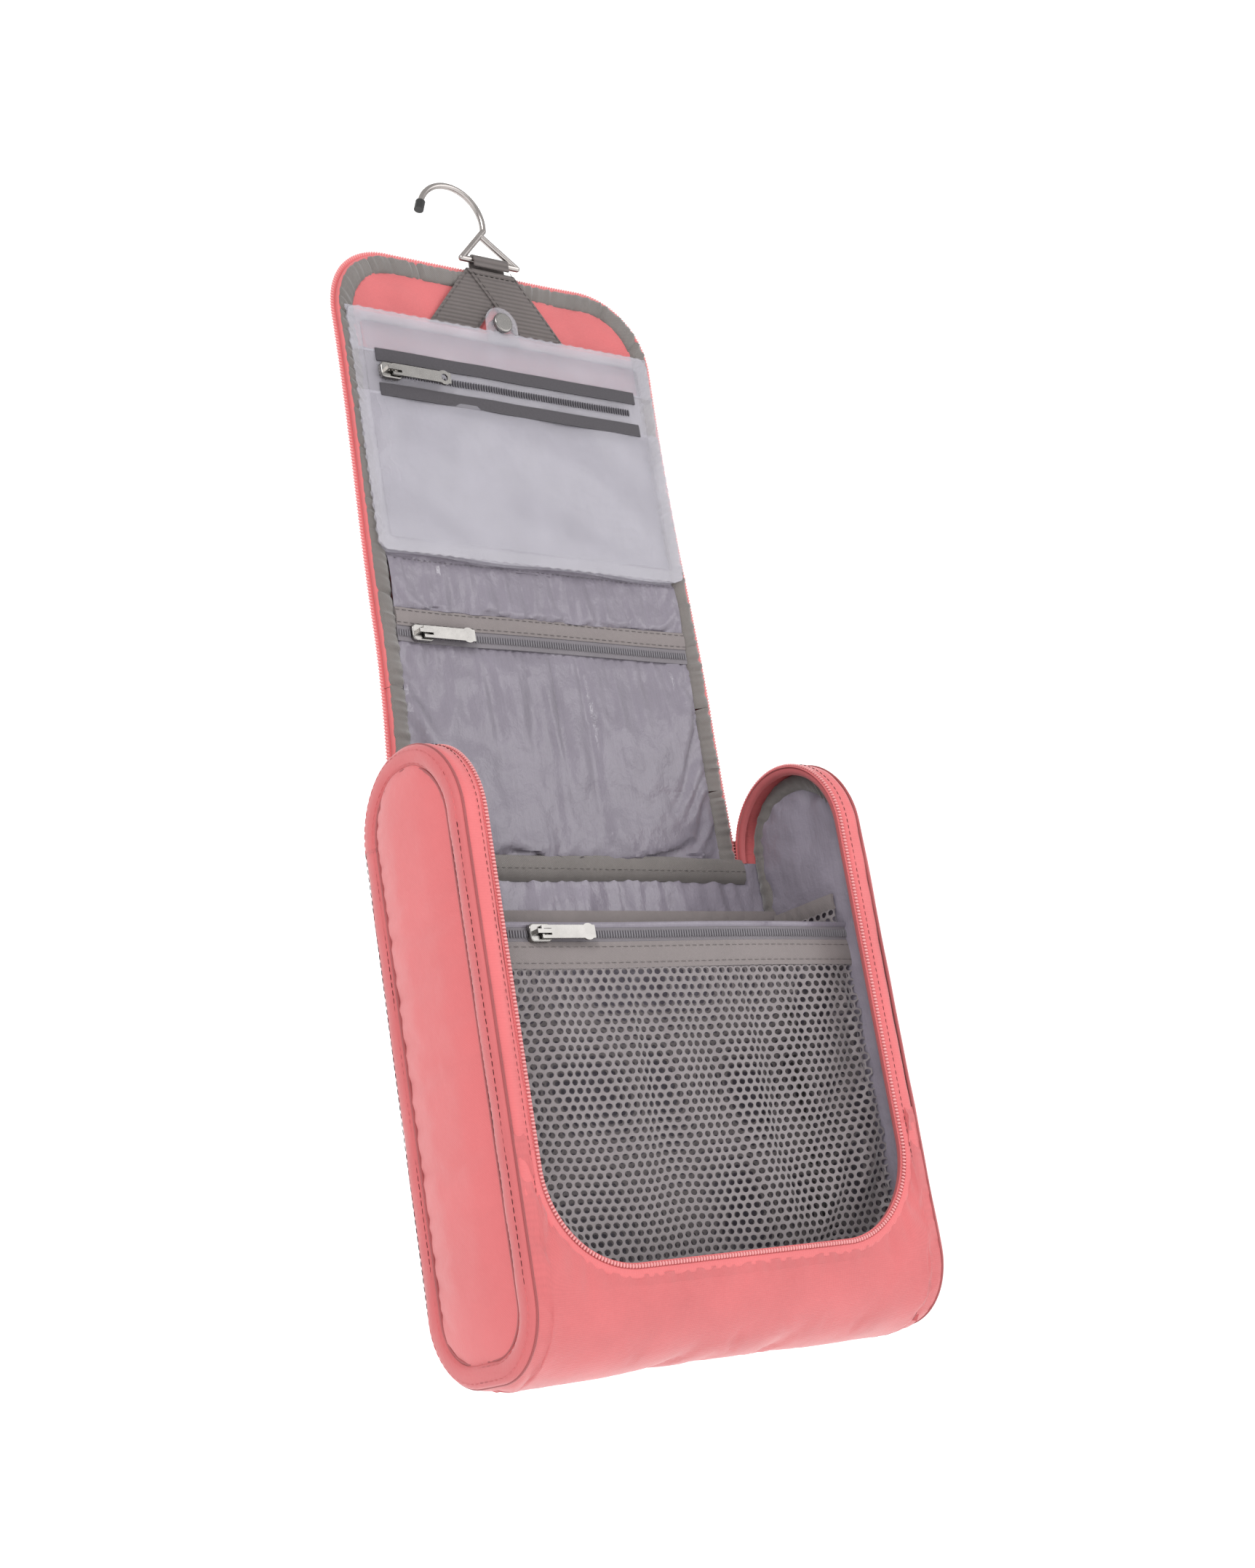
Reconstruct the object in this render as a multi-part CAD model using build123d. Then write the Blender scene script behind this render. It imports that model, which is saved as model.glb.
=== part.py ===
from build123d import *
import os
from math import cos, radians, sin, tan

# Hanging toiletry bag, open. X to the right, Y to the back, Z up, millimetres.
# The case stands on z = 0 while it is drawn; every piece is then moved so that the point
# where the hook rests on a rail is the origin.

# ---- case
W = 200.0          # width over the two gussets
D = 66.0           # depth
H = 233.0          # height of the closed case
RB = 26.0          # radius of the two bottom corners
WALL = 2.5         # padded outer cloth
LINE = 0.8         # satin lining
BAND = 8.0         # raised band round each gusset
BAND_T = 3.0       # its thickness
STRIP = 7.0        # cloth strip beside the main zip
ZIP = 3.8          # half of the main zip chain that stays on the case
GAP = 0.4          # play between the lid's edge and the case's
ZU = 34.0          # height of the lowest point of the main zip
RU = 36.0          # corner radius of the U that the zip follows

# ---- lid
FOLD = 60.0        # angle that each of the three fold lines takes when the lid is shut
LID_ZIP = 3.4      # half of the main zip chain that is on the lid
BIND = 8.5         # gathered binding round the lid
BIND_T = 2.2
PANEL_T = 1.0

# ---- inside
PLAY = 0.4         # room left between the folded-in hook and the divider
DIV_T = 1.0
DIV_DROP = 38.2    # from the start of the arch down to the divider's top edge
DIV_ZIP_H = 6.0
DIV_BAND = 10.0
BACK_POCKET = 6.8  # room between the back lining and its pocket
BACK_DROP = 29.0   # from the start of the arch down to the back pocket's elastic band
BAND_H = 6.0       # elastic bands
SIDE_POCKET = 5.0
SIDE_DROP = 32.0   # the same for the side pockets
MESH_T = 0.8

# ---- clear pouch
POUCH_SIDE = 7.8   # from the lid's edge to the pouch
POUCH_DROP = 32.0  # from the lid's top edge to the pouch
POCKET_H = 22.0   # gathered pocket between the stitched band and the seam under the pouch
FILM = 0.5
POUCH_GAP = 2.4    # room between the films
WELD = 6.0
POUCH_ZIP = (20.0, 38.0)   # zip panel, measured down from the pouch's top edge

# ---- strap and hook
STRAP_W = 25.0
STRAP_T = 0.9
LEG_H, LEG_RUN = 28.0, 22.0  # height of the two legs and how far each runs outward
WIRE = 2.8
HOOK_R = 16.0      # radius of the hook's wire centre line
HOOK_X = -16.0     # centre of the hook's curve
LOOP_W = 18.0      # webbing gathered in the wire triangle
SHOULDER_L, SHOULDER_R = 5.0, 6.0  # from the webbing to the triangle's two corners
SNAP_T = 1.6       # snap cap
TAB_T = 0.8        # pouch tab under it

# ---- zip sliders
SL_L, SL_W, SL_T = 10.0, 7.0, 2.2
CROWN_T = 0.8
CROWN_IN = 1.75    # clear height under the crown
PULL_T = 0.9
PULL_W = 5.0
RUN_OFF = 47.6     # width of the lid that the inner sliders do not run over

# ---- worked out from the above
R = D / 2
ZH = H - R                          # where the arch of the gusset starts
XS = W / 2 - BAND_T                 # side of the wrapped cloth
X_STRIP = XS - STRIP                # inner edge of the cloth strips
X_OPEN = X_STRIP - ZIP              # half width of the opening
X_LID = X_OPEN - GAP                # half width of the lid
RC = RU - GAP                       # corner radius of the lid
INNER = WALL + LINE                 # total wall
Y_MID = R - WALL / 2                # the fold lines run in the middle of the wall
SEG = Y_MID / sin(radians(FOLD))    # length of the two folding segments
RISE = SEG * cos(radians(FOLD))
Z0 = H - WALL / 2 - RISE            # first fold line
Z1 = Z0 + SEG
Z2 = Z1 + SEG                       # last fold line; the lid's stiff panel is above
LID_TOP = Z2 + Z0 - ZU - GAP
BEND = tan(radians(FOLD / 2))


def setback(depth):
    """Distance from a fold line to a piece whose inner face is this deep in the lid."""
    return max(depth - WALL / 2, WALL / 2) * BEND + 0.3


D_PANEL = WALL + PANEL_T
D_BIND = WALL + BIND_T
D_POUCH = D_BIND + 0.3              # back of the clear pouch
D_FILM = D_POUCH + FILM + POUCH_GAP  # back of its front film
D_FACE = D_FILM + FILM              # front of its front film
POCKET_ZIP = (Z2 + 2.4, Z2 + 8.4)
POCKET_BAND = (Z2 + 9.2, Z2 + 16.0)
SEAM_Z = POCKET_BAND[1] + POCKET_H  # gathered seam under the clear pouch
POUCH_TOP = LID_TOP - POUCH_DROP
POUCH_LOW = SEAM_Z + 1.0
POUCH_W = 2 * (X_LID - POUCH_SIDE)
SNAP_Z = POUCH_TOP + 4.0
SNAP_R = 4.5
TAB_R = 8.0
D_SNAP = D_FACE + TAB_T + SNAP_T    # front of the snap cap
LEG_TOP = LID_TOP - 2.2             # the strap's sewn legs stop here
PIVOT_Z = LEG_TOP + 0.5             # the hook swings here
LOOP_LOW = PIVOT_Z + 0.5
HOOK_D = D_BIND + 1.6
PIVOT_D = (D_SNAP + 0.3 + HOOK_D + WIRE / 2) / 2  # the hook folds in over the snap
BASE_Z = LOOP_LOW + 3.6
BASE_L, BASE_R = -LOOP_W / 2 - SHOULDER_L, LOOP_W / 2 + SHOULDER_R
LOOP_IN = WIRE / 2 + 0.05
LOOP_OUT = LOOP_IN + STRAP_T
DIV_Y = -R + 2 * PIVOT_D - HOOK_D + LOOP_OUT + PLAY  # front face of the divider
HOOK_Z = BASE_Z + 18.0              # centre of the hook's curve
SEAT = (HOOK_X, R - HOOK_D, HOOK_Z + HOOK_R - WIRE / 2)
DIV_TOP = ZH - DIV_DROP
DIV_ZIP = (DIV_TOP - 1.8 - DIV_ZIP_H, DIV_TOP - 1.8)
BACK_TOP = ZH - BACK_DROP
SIDE_TOP = ZH - SIDE_DROP
TRAVEL = 2 * X_LID - RUN_OFF


def save(name, shape):
    shape = Pos(-SEAT[0], -SEAT[1], -SEAT[2]) * shape
    shape.label = name
    export_step(shape, "parts/" + name + ".step")


def block(x0, x1, y0, y1, z0, z1):
    middle = Pos((x0 + x1) / 2, (y0 + y1) / 2, (z0 + z1) / 2)
    return middle * Box(x1 - x0, y1 - y0, z1 - z0)


def outline(inset):
    """Side view of the case, drawn in by inset."""
    r = R - inset
    low = 2 * RB + 10
    arch = Pos(0, ZH) * Circle(r)
    middle = Pos(0, (RB + ZH) / 2) * Rectangle(2 * r, ZH - RB)
    foot = Pos(0, (inset + low) / 2) * RectangleRounded(2 * r, low - inset, RB - inset)
    return arch + middle + foot


def slab(inset, x0, x1):
    return extrude(Plane.YZ.offset(x0) * outline(inset), amount=x1 - x0)


def ring(outer, inner, x0, x1):
    return slab(outer, x0, x1) - slab(inner, x0 - 1, x1 + 1)


def plate(sketch, y0, y1):
    return extrude(Plane.XZ.offset(-y1) * sketch, amount=y1 - y0)


def layer(sketch, d0, d1):
    """A flat piece of the lid between two depths from its outer face."""
    return plate(sketch, R - d1, R - d0)


def rect(x0, x1, z0, z1):
    return Pos((x0 + x1) / 2, (z0 + z1) / 2) * Rectangle(x1 - x0, z1 - z0)


def rounded_rect(x0, x1, z0, z1, r):
    return Pos((x0 + x1) / 2, (z0 + z1) / 2) * RectangleRounded(x1 - x0, z1 - z0, r)


def lid_sketch(inset, low):
    """Front view of the lid from the height low up, drawn in by inset."""
    half, top, r = X_LID - inset, LID_TOP - inset, RC - inset
    return rounded_rect(-half, half, top - 2 * r - 10, top, r) + rect(-half, half, low, top - r)


def u_sketch(grow):
    """Front view of the case's opening, grown outward."""
    half, low, r = X_OPEN + grow, ZU - grow, RU + grow
    return rounded_rect(-half, half, low, low + 2 * r + 10, r) + rect(-half, half, low + r, H + 20)


def both(maker):
    return {"left": maker(-1), "right": maker(1)}


def span(side, a, b):
    """x range from a to b on the left (-1) or the right (1)."""
    return (a, b) if side > 0 else (-b, -a)


# ---------------------------------------------------------------- outer case
U_TOP = ZU + RU
OVER = block(-W, W, -R - 1, R + 1, U_TOP, H + 1) - block(-W, W, 0, R + 1, 0, ZH)
FRONT = block(-W, W, -R - 1, 0, RB, U_TOP)


def gusset(side):
    return slab(BAND, *span(side, W / 2 - WALL, W / 2))


def gusset_band(side):
    return ring(0, BAND, *span(side, XS, W / 2))


def zip_strip(side):
    return ring(0, WALL, *span(side, X_STRIP, XS)) & OVER


def case_zip():
    sides = ring(0.4, 2.0, -X_STRIP, X_STRIP) & OVER
    sides -= block(-X_OPEN, X_OPEN, -R - 1, R + 1, U_TOP, H + 2)
    low = plate(u_sketch(ZIP) - u_sketch(0), -R + 0.4, -R + 2.0)
    low &= block(-W, W, -R, 0, 0, U_TOP)
    return sides + low


def front_panel():
    shape = ring(0, WALL, -XS, XS) & FRONT
    return shape - plate(u_sketch(ZIP), -R - 1, -R + WALL + 1)


def lining_wrap():
    shape = ring(WALL, INNER, -XS + LINE, XS - LINE)
    shape &= block(-W, W, -R, R, 0, ZH) - block(-W, W, -R, 0, U_TOP, ZH + 1)
    return shape - plate(u_sketch(ZIP), -R - 1, -R + INNER + 1)


def lining(side):
    return slab(INNER, *span(side, XS - LINE, XS))


def gusset_binding(side):
    return ring(INNER + 0.2, INNER + 7, *span(side, XS - LINE - BIND_T, XS - LINE))


# ---------------------------------------------------------------- inside the case
FREE = slab(INNER + 0.05, -XS, XS)
X_IN = XS - LINE - BIND_T           # inner face of the gusset bindings


def divider(z0, z1, y0=DIV_Y, y1=DIV_Y + DIV_T, half=X_IN):
    return block(-half, half, y0, y1, z0, z1) & FREE


def back_pocket(z0, z1, t):
    y = R - INNER - BACK_POCKET
    return block(-X_IN, X_IN, y - t, y, z0, z1) & FREE


def side_pocket(side, z0, z1, t):
    x = XS - LINE - SIDE_POCKET
    y0, y1 = DIV_Y + DIV_T + 0.6, R - INNER - BACK_POCKET - 2.2
    return block(*span(side, x - t, x), y0, y1, z0, z1) & FREE


# ---------------------------------------------------------------- sliders, drawn along +X, facing +Z
def slider():
    body = Box(SL_L, SL_W, SL_T, align=(Align.CENTER, Align.CENTER, Align.MIN))
    body = fillet(body.edges().filter_by(Axis.Z), 2.0)
    body = fillet(body.edges().group_by(Axis.Z)[-1], 0.5)
    top = SL_T + CROWN_IN
    body += Pos(0, 0, top + CROWN_T / 2) * Box(6.2, 1.6, CROWN_T)
    for x in (-2.6, 2.6):
        body += Pos(x, 0, SL_T + CROWN_IN / 2) * Box(1.0, 1.6, CROWN_IN)
    return body


PIVOT_H = SL_T + 1.0                # height of the pull's axis above the slider's foot


def pull(length, hole=False):
    flat = rounded_rect(-PULL_T / 2, length, -PULL_W / 2, PULL_W / 2, 0.4)
    flat -= rect(PULL_T / 2, 3.9, -1.3, 1.3)
    end = Pos(length - 3.2, 0) * Circle(3.2)
    flat += end
    if hole:
        flat -= Pos(length - 3.2, 0) * Circle(1.6)
    return Pos(0, 0, PIVOT_H - PULL_T / 2) * extrude(flat, amount=PULL_T)


FACE_FRONT = Plane(origin=(0, 0, 0), x_dir=(1, 0, 0), z_dir=(0, -1, 0))
FACE_BACK = Plane(origin=(0, 0, 0), x_dir=(0, 0, -1), z_dir=(0, 1, 0))


def placed(plane, origin, shape):
    return Pos(*origin) * (plane.location * shape)


# ---------------------------------------------------------------- lid
def lid_part(a, b, depth0, depth1, half):
    """One layer of a folding segment between the fold lines a and b."""
    s = setback(depth1)
    return layer(rect(-half, half, a + s, b - s), depth0, depth1)


def segment_zip(a, b):
    whole = lid_part(a, b, 0.4, 2.0, X_LID)
    return whole - block(-X_LID + LID_ZIP, X_LID - LID_ZIP, 0, W, a - 1, b + 1)


def strap_legs():
    low = LEG_TOP - LEG_H
    parts = []
    for side, d in ((-1, D_BIND + 0.3), (1, D_BIND + 0.3 + STRAP_T + 0.1)):
        pts = [(-12.5, LEG_TOP), (12.5, LEG_TOP), (side * LEG_RUN + 12.5, low), (side * LEG_RUN - 12.5, low)]
        face = make_face(Polyline(*pts, close=True))
        parts.append(layer(face, d, d + STRAP_T))
    pad = layer(rect(-12.5, 12.5, LEG_TOP - 4, LEG_TOP), D_BIND + 0.2, D_BIND + 0.3 + 2 * STRAP_T + 0.1)
    return parts[0] + parts[1] + pad


def strap_loop():
    y = R - HOOK_D
    x0, x1 = -LOOP_W / 2, LOOP_W / 2
    tube = Plane.YZ.offset(x0) * (Pos(y, BASE_Z) * (Circle(LOOP_OUT) - Circle(LOOP_IN)))
    shape = extrude(tube, amount=x1 - x0) & block(x0, x1, y - 9, y + 9, BASE_Z, BASE_Z + 9)
    for s in (-1, 1):
        a, b = sorted((y + s * LOOP_IN, y + s * LOOP_OUT))
        shape += block(x0, x1, a, b, LOOP_LOW, BASE_Z)
    y0, y1 = y - LOOP_IN, y + LOOP_IN
    return shape + block(x0, x1, y0, y1, LOOP_LOW, LOOP_LOW + 1.2)


def rod(a, b, r):
    line = Line(a, b)
    return sweep(Plane(origin=a, z_dir=line % 0) * Circle(r), path=line)


TIP = 160.0                         # angle at which the hook's curve ends
STEM = -10.0                        # angle at which it starts


def on_curve(angle):
    a = radians(angle)
    return Vector(HOOK_X + HOOK_R * cos(a), R - HOOK_D, HOOK_Z + HOOK_R * sin(a))


def hook_wire():
    y, r = R - HOOK_D, WIRE / 2
    end = on_curve(STEM)
    left, right = Vector(BASE_L, y, BASE_Z), Vector(BASE_R, y, BASE_Z)
    side = end - Vector(2.2, 0, 2.4)
    shape = rod(left, right, r) + rod(left, end, r) + rod(right, side, r)
    for p in (left, right, end, side):
        shape += Pos(*p) * Sphere(r)
    curve = ThreePointArc(end, on_curve((STEM + TIP) / 2), on_curve(TIP))
    return shape + sweep(Plane(origin=end, z_dir=curve % 0) * Circle(r), path=curve)


def hook_cap():
    a = radians(TIP)
    way = Vector(-sin(a), 0, cos(a))
    foot = Plane(origin=on_curve(TIP) + way * 0.05, z_dir=way)
    return foot * Cylinder(WIRE / 2 + 0.7, 4.5, align=(Align.CENTER, Align.CENTER, Align.MIN))


# ---------------------------------------------------------------- clear pouch
def pouch_sketch(inset):
    half = POUCH_W / 2 - inset
    return rounded_rect(-half, half, POUCH_LOW + inset, POUCH_TOP - inset, 5.0 - inset / 2)


def pouch_front():
    z0, z1 = POUCH_TOP - POUCH_ZIP[1], POUCH_TOP - POUCH_ZIP[0]
    film = pouch_sketch(0) - rect(-POUCH_W / 2 + WELD, POUCH_W / 2 - WELD, z0, z1)
    return layer(film, D_FILM, D_FACE)


def pouch_frame():
    return layer(pouch_sketch(0) - pouch_sketch(WELD), D_POUCH + FILM, D_FILM)


def pouch_tab():
    tab = Pos(0, SNAP_Z) * Circle(TAB_R) + rect(-TAB_R, TAB_R, POUCH_TOP - 5, SNAP_Z)
    return layer(tab - Pos(0, SNAP_Z) * Circle(1.2), D_FACE, D_FACE + TAB_T)


def pouch_zip():
    z0, z1 = POUCH_TOP - POUCH_ZIP[1], POUCH_TOP - POUCH_ZIP[0]
    half = POUCH_W / 2 - WELD
    tape = layer(rect(-half + 0.1, half - 0.1, z0 + 0.1, z1 - 0.1), D_FILM, D_FACE)
    zc = (z0 + z1) / 2
    return tape + layer(rect(-half + 0.1, half - 0.1, zc - 1.5, zc + 1.5), D_FACE, D_FACE + 0.6)


def build():
    os.makedirs("parts", exist_ok=True)
    for name, maker in (("gusset", gusset), ("gusset_band", gusset_band), ("zip_strip", zip_strip),
                        ("gusset_lining", lining), ("gusset_binding", gusset_binding)):
        for side, shape in both(maker).items():
            save(name + "_" + side, shape)
    wrap = ring(0, WALL, -XS, XS)
    save("back_panel", wrap & block(-W, W, 0, R + 1, RB, ZH))
    save("bottom_panel", wrap & block(-W, W, -R - 1, R + 1, -1, RB))
    save("front_panel", front_panel())
    save("case_zip", case_zip())
    save("lining_wrap", lining_wrap())
    save("hinge_strip", layer(rect(-X_LID, X_LID, ZH, Z0 - setback(WALL)), 0, WALL))
    save("hinge_binding", block(-X_LID, X_LID, R - INNER - 2.0, R - INNER, ZH - 8, ZH))

    save("divider_mesh", divider(0, DIV_ZIP[0] - DIV_BAND))
    save("divider_band", divider(DIV_ZIP[0] - DIV_BAND, DIV_ZIP[0]))
    save("divider_zip", divider(*DIV_ZIP, DIV_Y - 0.2, DIV_Y + 0.6))
    save("divider_strip", divider(DIV_ZIP[1], DIV_TOP))
    save("back_pocket", back_pocket(0, BACK_TOP, MESH_T))
    save("back_band", back_pocket(BACK_TOP, BACK_TOP + BAND_H, 1.4))
    for side in (-1, 1):
        tag = "left" if side < 0 else "right"
        save("side_pocket_" + tag, side_pocket(side, 0, SIDE_TOP, MESH_T))
        save("side_band_" + tag, side_pocket(side, SIDE_TOP, SIDE_TOP + BAND_H, 1.4))

    sliders = []
    for side in (-1, 1):
        at = (side * (X_OPEN + X_STRIP) / 2, R + 0.1, ZH + 6)
        sliders.append(placed(FACE_BACK, at, slider()))
        save("main_pull_" + ("left" if side < 0 else "right"), placed(FACE_BACK, at, pull(24)))
    save("main_sliders", Compound(children=sliders))
    x0 = -TRAVEL / 2
    at = (x0, DIV_Y - 0.3, sum(DIV_ZIP) / 2)
    save("divider_slider", placed(FACE_FRONT, at, slider()))
    save("divider_pull", placed(FACE_FRONT, at, pull(24)))

    for tag, a, b in (("a", Z0, Z1), ("b", Z1, Z2)):
        save("fold_" + tag + "_shell", lid_part(a, b, 0, WALL, X_LID - LID_ZIP))
        save("fold_" + tag + "_lining", lid_part(a, b, WALL, INNER, X_LID - 2))
        save("fold_" + tag + "_zip", segment_zip(a, b))

    s = setback(WALL)
    half_in = X_LID - LID_ZIP + 0.9
    save("lid_shell", layer(lid_sketch(LID_ZIP, Z2 + s), 0, WALL))
    save("lid_zip", layer(lid_sketch(0, Z2 + s) - lid_sketch(LID_ZIP, Z2 - 9), 0.4, 2.0))
    s = setback(D_BIND)
    inside = lid_sketch(LID_ZIP - 0.9 + BIND, Z2 - 9)
    save("lid_binding", layer(lid_sketch(LID_ZIP - 0.9, Z2 + s) - inside, WALL, D_BIND))
    s = setback(INNER)
    low = rect(-W, W, Z2 + s, SEAM_Z)
    panel = lid_sketch(LID_ZIP - 0.9 + BIND, Z2 - 9)
    save("lid_lining", layer(panel & low, WALL, INNER))
    save("lid_upper_panel", layer(panel & rect(-W, W, SEAM_Z, LID_TOP), WALL, D_PANEL))
    half = half_in - BIND
    save("lid_pocket_zip", layer(rect(-half, half, *POCKET_ZIP), INNER, INNER + 1.0))
    save("lid_pocket_band", layer(rect(-half, half, *POCKET_BAND), INNER, D_BIND))
    save("lid_pocket", layer(rect(-half, half, POCKET_BAND[1], SEAM_Z), INNER, D_BIND + 0.3))
    at = (x0, R - INNER - 1.1, sum(POCKET_ZIP) / 2)
    save("lid_slider", placed(FACE_FRONT, at, slider()))
    save("lid_pull", placed(FACE_FRONT, at, pull(24)))
    save("strap_legs", strap_legs())
    stud = Cylinder(SNAP_R - 0.6, D_FACE - D_PANEL, align=(Align.CENTER, Align.CENTER, Align.MIN))
    save("snap_stud", placed(FACE_FRONT, (0, R - D_PANEL, SNAP_Z), stud))

    save("pouch_back", layer(pouch_sketch(0), D_POUCH, D_POUCH + FILM))
    save("pouch_front", pouch_front() + pouch_tab())
    save("pouch_frame", pouch_frame())
    save("pouch_zip", pouch_zip())
    at = (x0, R - D_FACE - 0.7, POUCH_TOP - sum(POUCH_ZIP) / 2)
    save("pouch_slider", placed(FACE_FRONT, at, slider()))
    save("pouch_pull", placed(FACE_FRONT, at, pull(28, True)))
    cap = Cylinder(SNAP_R, SNAP_T, align=(Align.CENTER, Align.CENTER, Align.MIN))
    cap = fillet(cap.edges().group_by(Axis.Z)[-1], 0.7)
    save("snap_cap", placed(FACE_FRONT, (0, R - D_FACE - TAB_T, SNAP_Z), cap))

    save("strap_loop", strap_loop())
    save("hook_wire", hook_wire())
    save("hook_cap", hook_cap())


build()
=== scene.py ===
import math

import bmesh
import bpy
import numpy as np
from mathutils import Matrix


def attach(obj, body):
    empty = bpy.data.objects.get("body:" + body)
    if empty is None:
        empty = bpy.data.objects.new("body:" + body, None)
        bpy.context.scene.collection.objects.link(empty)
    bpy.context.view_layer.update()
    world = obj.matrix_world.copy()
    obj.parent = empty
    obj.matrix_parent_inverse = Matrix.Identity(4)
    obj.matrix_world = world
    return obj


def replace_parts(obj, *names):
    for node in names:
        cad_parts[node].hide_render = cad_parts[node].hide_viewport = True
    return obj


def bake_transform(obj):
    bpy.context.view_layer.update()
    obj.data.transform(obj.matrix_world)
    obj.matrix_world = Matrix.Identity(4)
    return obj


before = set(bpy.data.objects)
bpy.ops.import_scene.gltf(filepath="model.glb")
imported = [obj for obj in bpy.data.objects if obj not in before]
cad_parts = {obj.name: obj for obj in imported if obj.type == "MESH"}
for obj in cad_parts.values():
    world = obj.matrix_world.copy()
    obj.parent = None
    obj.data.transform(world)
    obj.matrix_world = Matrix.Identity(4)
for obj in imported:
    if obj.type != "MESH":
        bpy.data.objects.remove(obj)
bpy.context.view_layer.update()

# All sizes are in millimetres in the case's own frame (case bottom z = 0, middle x = y = 0),
# and are moved to the row frame, whose origin is the hook's seat, when a mesh is made.
W, D, H, RB = 200.0, 66.0, 233.0, 26.0
R = D / 2
ZH = H - R
XS, X_STRIP, X_OPEN, X_LID = 97.0, 90.0, 86.2, 85.8
ZU, RU, RC = 34.0, 36.0, 35.6
WALL, LINE, INNER, BAND = 2.5, 0.8, 3.3, 8.0
Y_MID = R - WALL / 2
SEG = Y_MID / math.sin(math.radians(60))
Z0 = H - WALL / 2 - SEG / 2
Z1, Z2 = Z0 + SEG, Z0 + 2 * SEG
LID_TOP = Z2 + Z0 - ZU - 0.4
POCKET_ZIP, POCKET_BAND = (Z2 + 2.4, Z2 + 8.4), (Z2 + 9.2, Z2 + 16.0)
SEAM_Z = POCKET_BAND[1] + 22.0
POUCH_TOP, POUCH_LOW, POUCH_W = LID_TOP - 32.0, SEAM_Z + 1.0, 156.0
POUCH_H = POUCH_TOP - POUCH_LOW
DIV_TOP = ZH - 38.2
DIV_ZIP = (DIV_TOP - 7.8, DIV_TOP - 1.8)
NET_TOP, BACK_TOP, SIDE_TOP = DIV_ZIP[0] - 10, ZH - 29.0, ZH - 32.0
LID_ZIP, D_BIND, D_POUCH, D_FACE = 3.4, 4.7, 5.0, 8.4
SNAP_Z, LEG_TOP = POUCH_TOP + 4, LID_TOP - 2.2
LOOP_LOW = LEG_TOP + 1.0
BASE_Z = LOOP_LOW + 3.6
DIV_Y = -17.75
SEAT = np.array([-16.0, 26.7, LID_TOP + 35.0])


def row(p):
    return (np.asarray(p, float) - SEAT) / 1000


# ------------------------------------------------------------------ meshes
# A geometry is (vertices, faces, weave coordinates in mm). A piece joins geometries, each with its material.
def piece(name, *parts):
    verts, faces, wv, slots, mats = [], [], [], [], []
    base = 0
    for (v, f, w), mat in parts:
        if mat not in mats:
            mats.append(mat)
        verts.append(v)
        wv.append(w)
        faces += [tuple(int(i) + base for i in q) for q in f]
        slots += [mats.index(mat)] * len(f)
        base += len(v)
    me = bpy.data.meshes.new(name)
    me.from_pydata([tuple(p) for p in row(np.concatenate(verts))], [], faces)
    a = me.attributes.new("wv", "FLOAT_VECTOR", "POINT")
    a.data.foreach_set("vector", np.concatenate(wv).astype(np.float32).ravel())
    for m in mats:
        me.materials.append(m)
    me.polygons.foreach_set("material_index", slots)
    bm = bmesh.new()
    bm.from_mesh(me)
    bmesh.ops.recalc_face_normals(bm, faces=bm.faces)
    bm.to_mesh(me)
    bm.free()
    me.polygons.foreach_set("use_smooth", [True] * len(me.polygons))
    me.set_sharp_from_angle(angle=math.radians(52))
    ob = bpy.data.objects.new(name, me)
    bpy.context.scene.collection.objects.link(ob)
    return ob


def unit(v):
    return v / np.maximum(np.linalg.norm(v, axis=-1, keepdims=True), 1e-9)


def normals(P, toward, close_u=False, close_v=False):
    """Unit normals of a grid that point away from the point toward."""
    def diff(a, axis, closed):
        if closed:
            return np.roll(a, -1, axis) - np.roll(a, 1, axis)
        return np.gradient(a, axis=axis)

    n = unit(np.cross(diff(P, 0, close_u), diff(P, 1, close_v)))
    return n if (n * (P - np.array(toward))).sum() > 0 else -n


def metric(P):
    du = np.linalg.norm(np.diff(P, axis=0), axis=2).mean(1)
    dv = np.linalg.norm(np.diff(P, axis=1), axis=2).mean(0)
    U, V = np.meshgrid(np.concatenate([[0], np.cumsum(du)]), np.concatenate([[0], np.cumsum(dv)]), indexing="ij")
    return np.stack([U, V, np.zeros_like(U)], 2)


def grid_faces(nu, nv, close_u=False, close_v=False, base=0):
    i = np.arange(nu if close_u else nu - 1)
    j = np.arange(nv if close_v else nv - 1)
    I, J = np.meshgrid(i, j, indexing="ij")
    I1, J1 = (I + 1) % nu, (J + 1) % nv
    return (base + np.stack([I * nv + J, I1 * nv + J, I1 * nv + J1, I * nv + J1], 2)).reshape(-1, 4)


def sheet_geo(P, t, toward, close_u=False, close_v=False, rows=slice(None)):
    """A layer whose outer face is the grid P and whose inner face lies t nearer to the point toward."""
    N = normals(P, toward, close_u, close_v)
    wv = metric(P)[rows].reshape(-1, 3)
    P, N = P[rows], N[rows]
    nu, nv = P.shape[:2]
    Q = P - N * (t[..., None] if isinstance(t, np.ndarray) else t)
    n = nu * nv
    idx = np.arange(n).reshape(nu, nv)
    faces = [grid_faces(nu, nv, close_u, close_v), grid_faces(nu, nv, close_u, close_v, n)[:, ::-1]]
    rims = []
    if not close_v:
        rims += [(idx[:, 0], close_u), (idx[:, -1], close_u)]
    if not close_u:
        rims += [(idx[0], close_v), (idx[-1], close_v)]
    for line, closed in rims:
        a, b = (line, np.roll(line, -1)) if closed else (line[:-1], line[1:])
        faces.append(np.stack([a, b, b + n, a + n], 1))
    return (np.concatenate([P.reshape(-1, 3), Q.reshape(-1, 3)]), np.concatenate(faces).tolist(),
            np.concatenate([wv, wv]))


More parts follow.
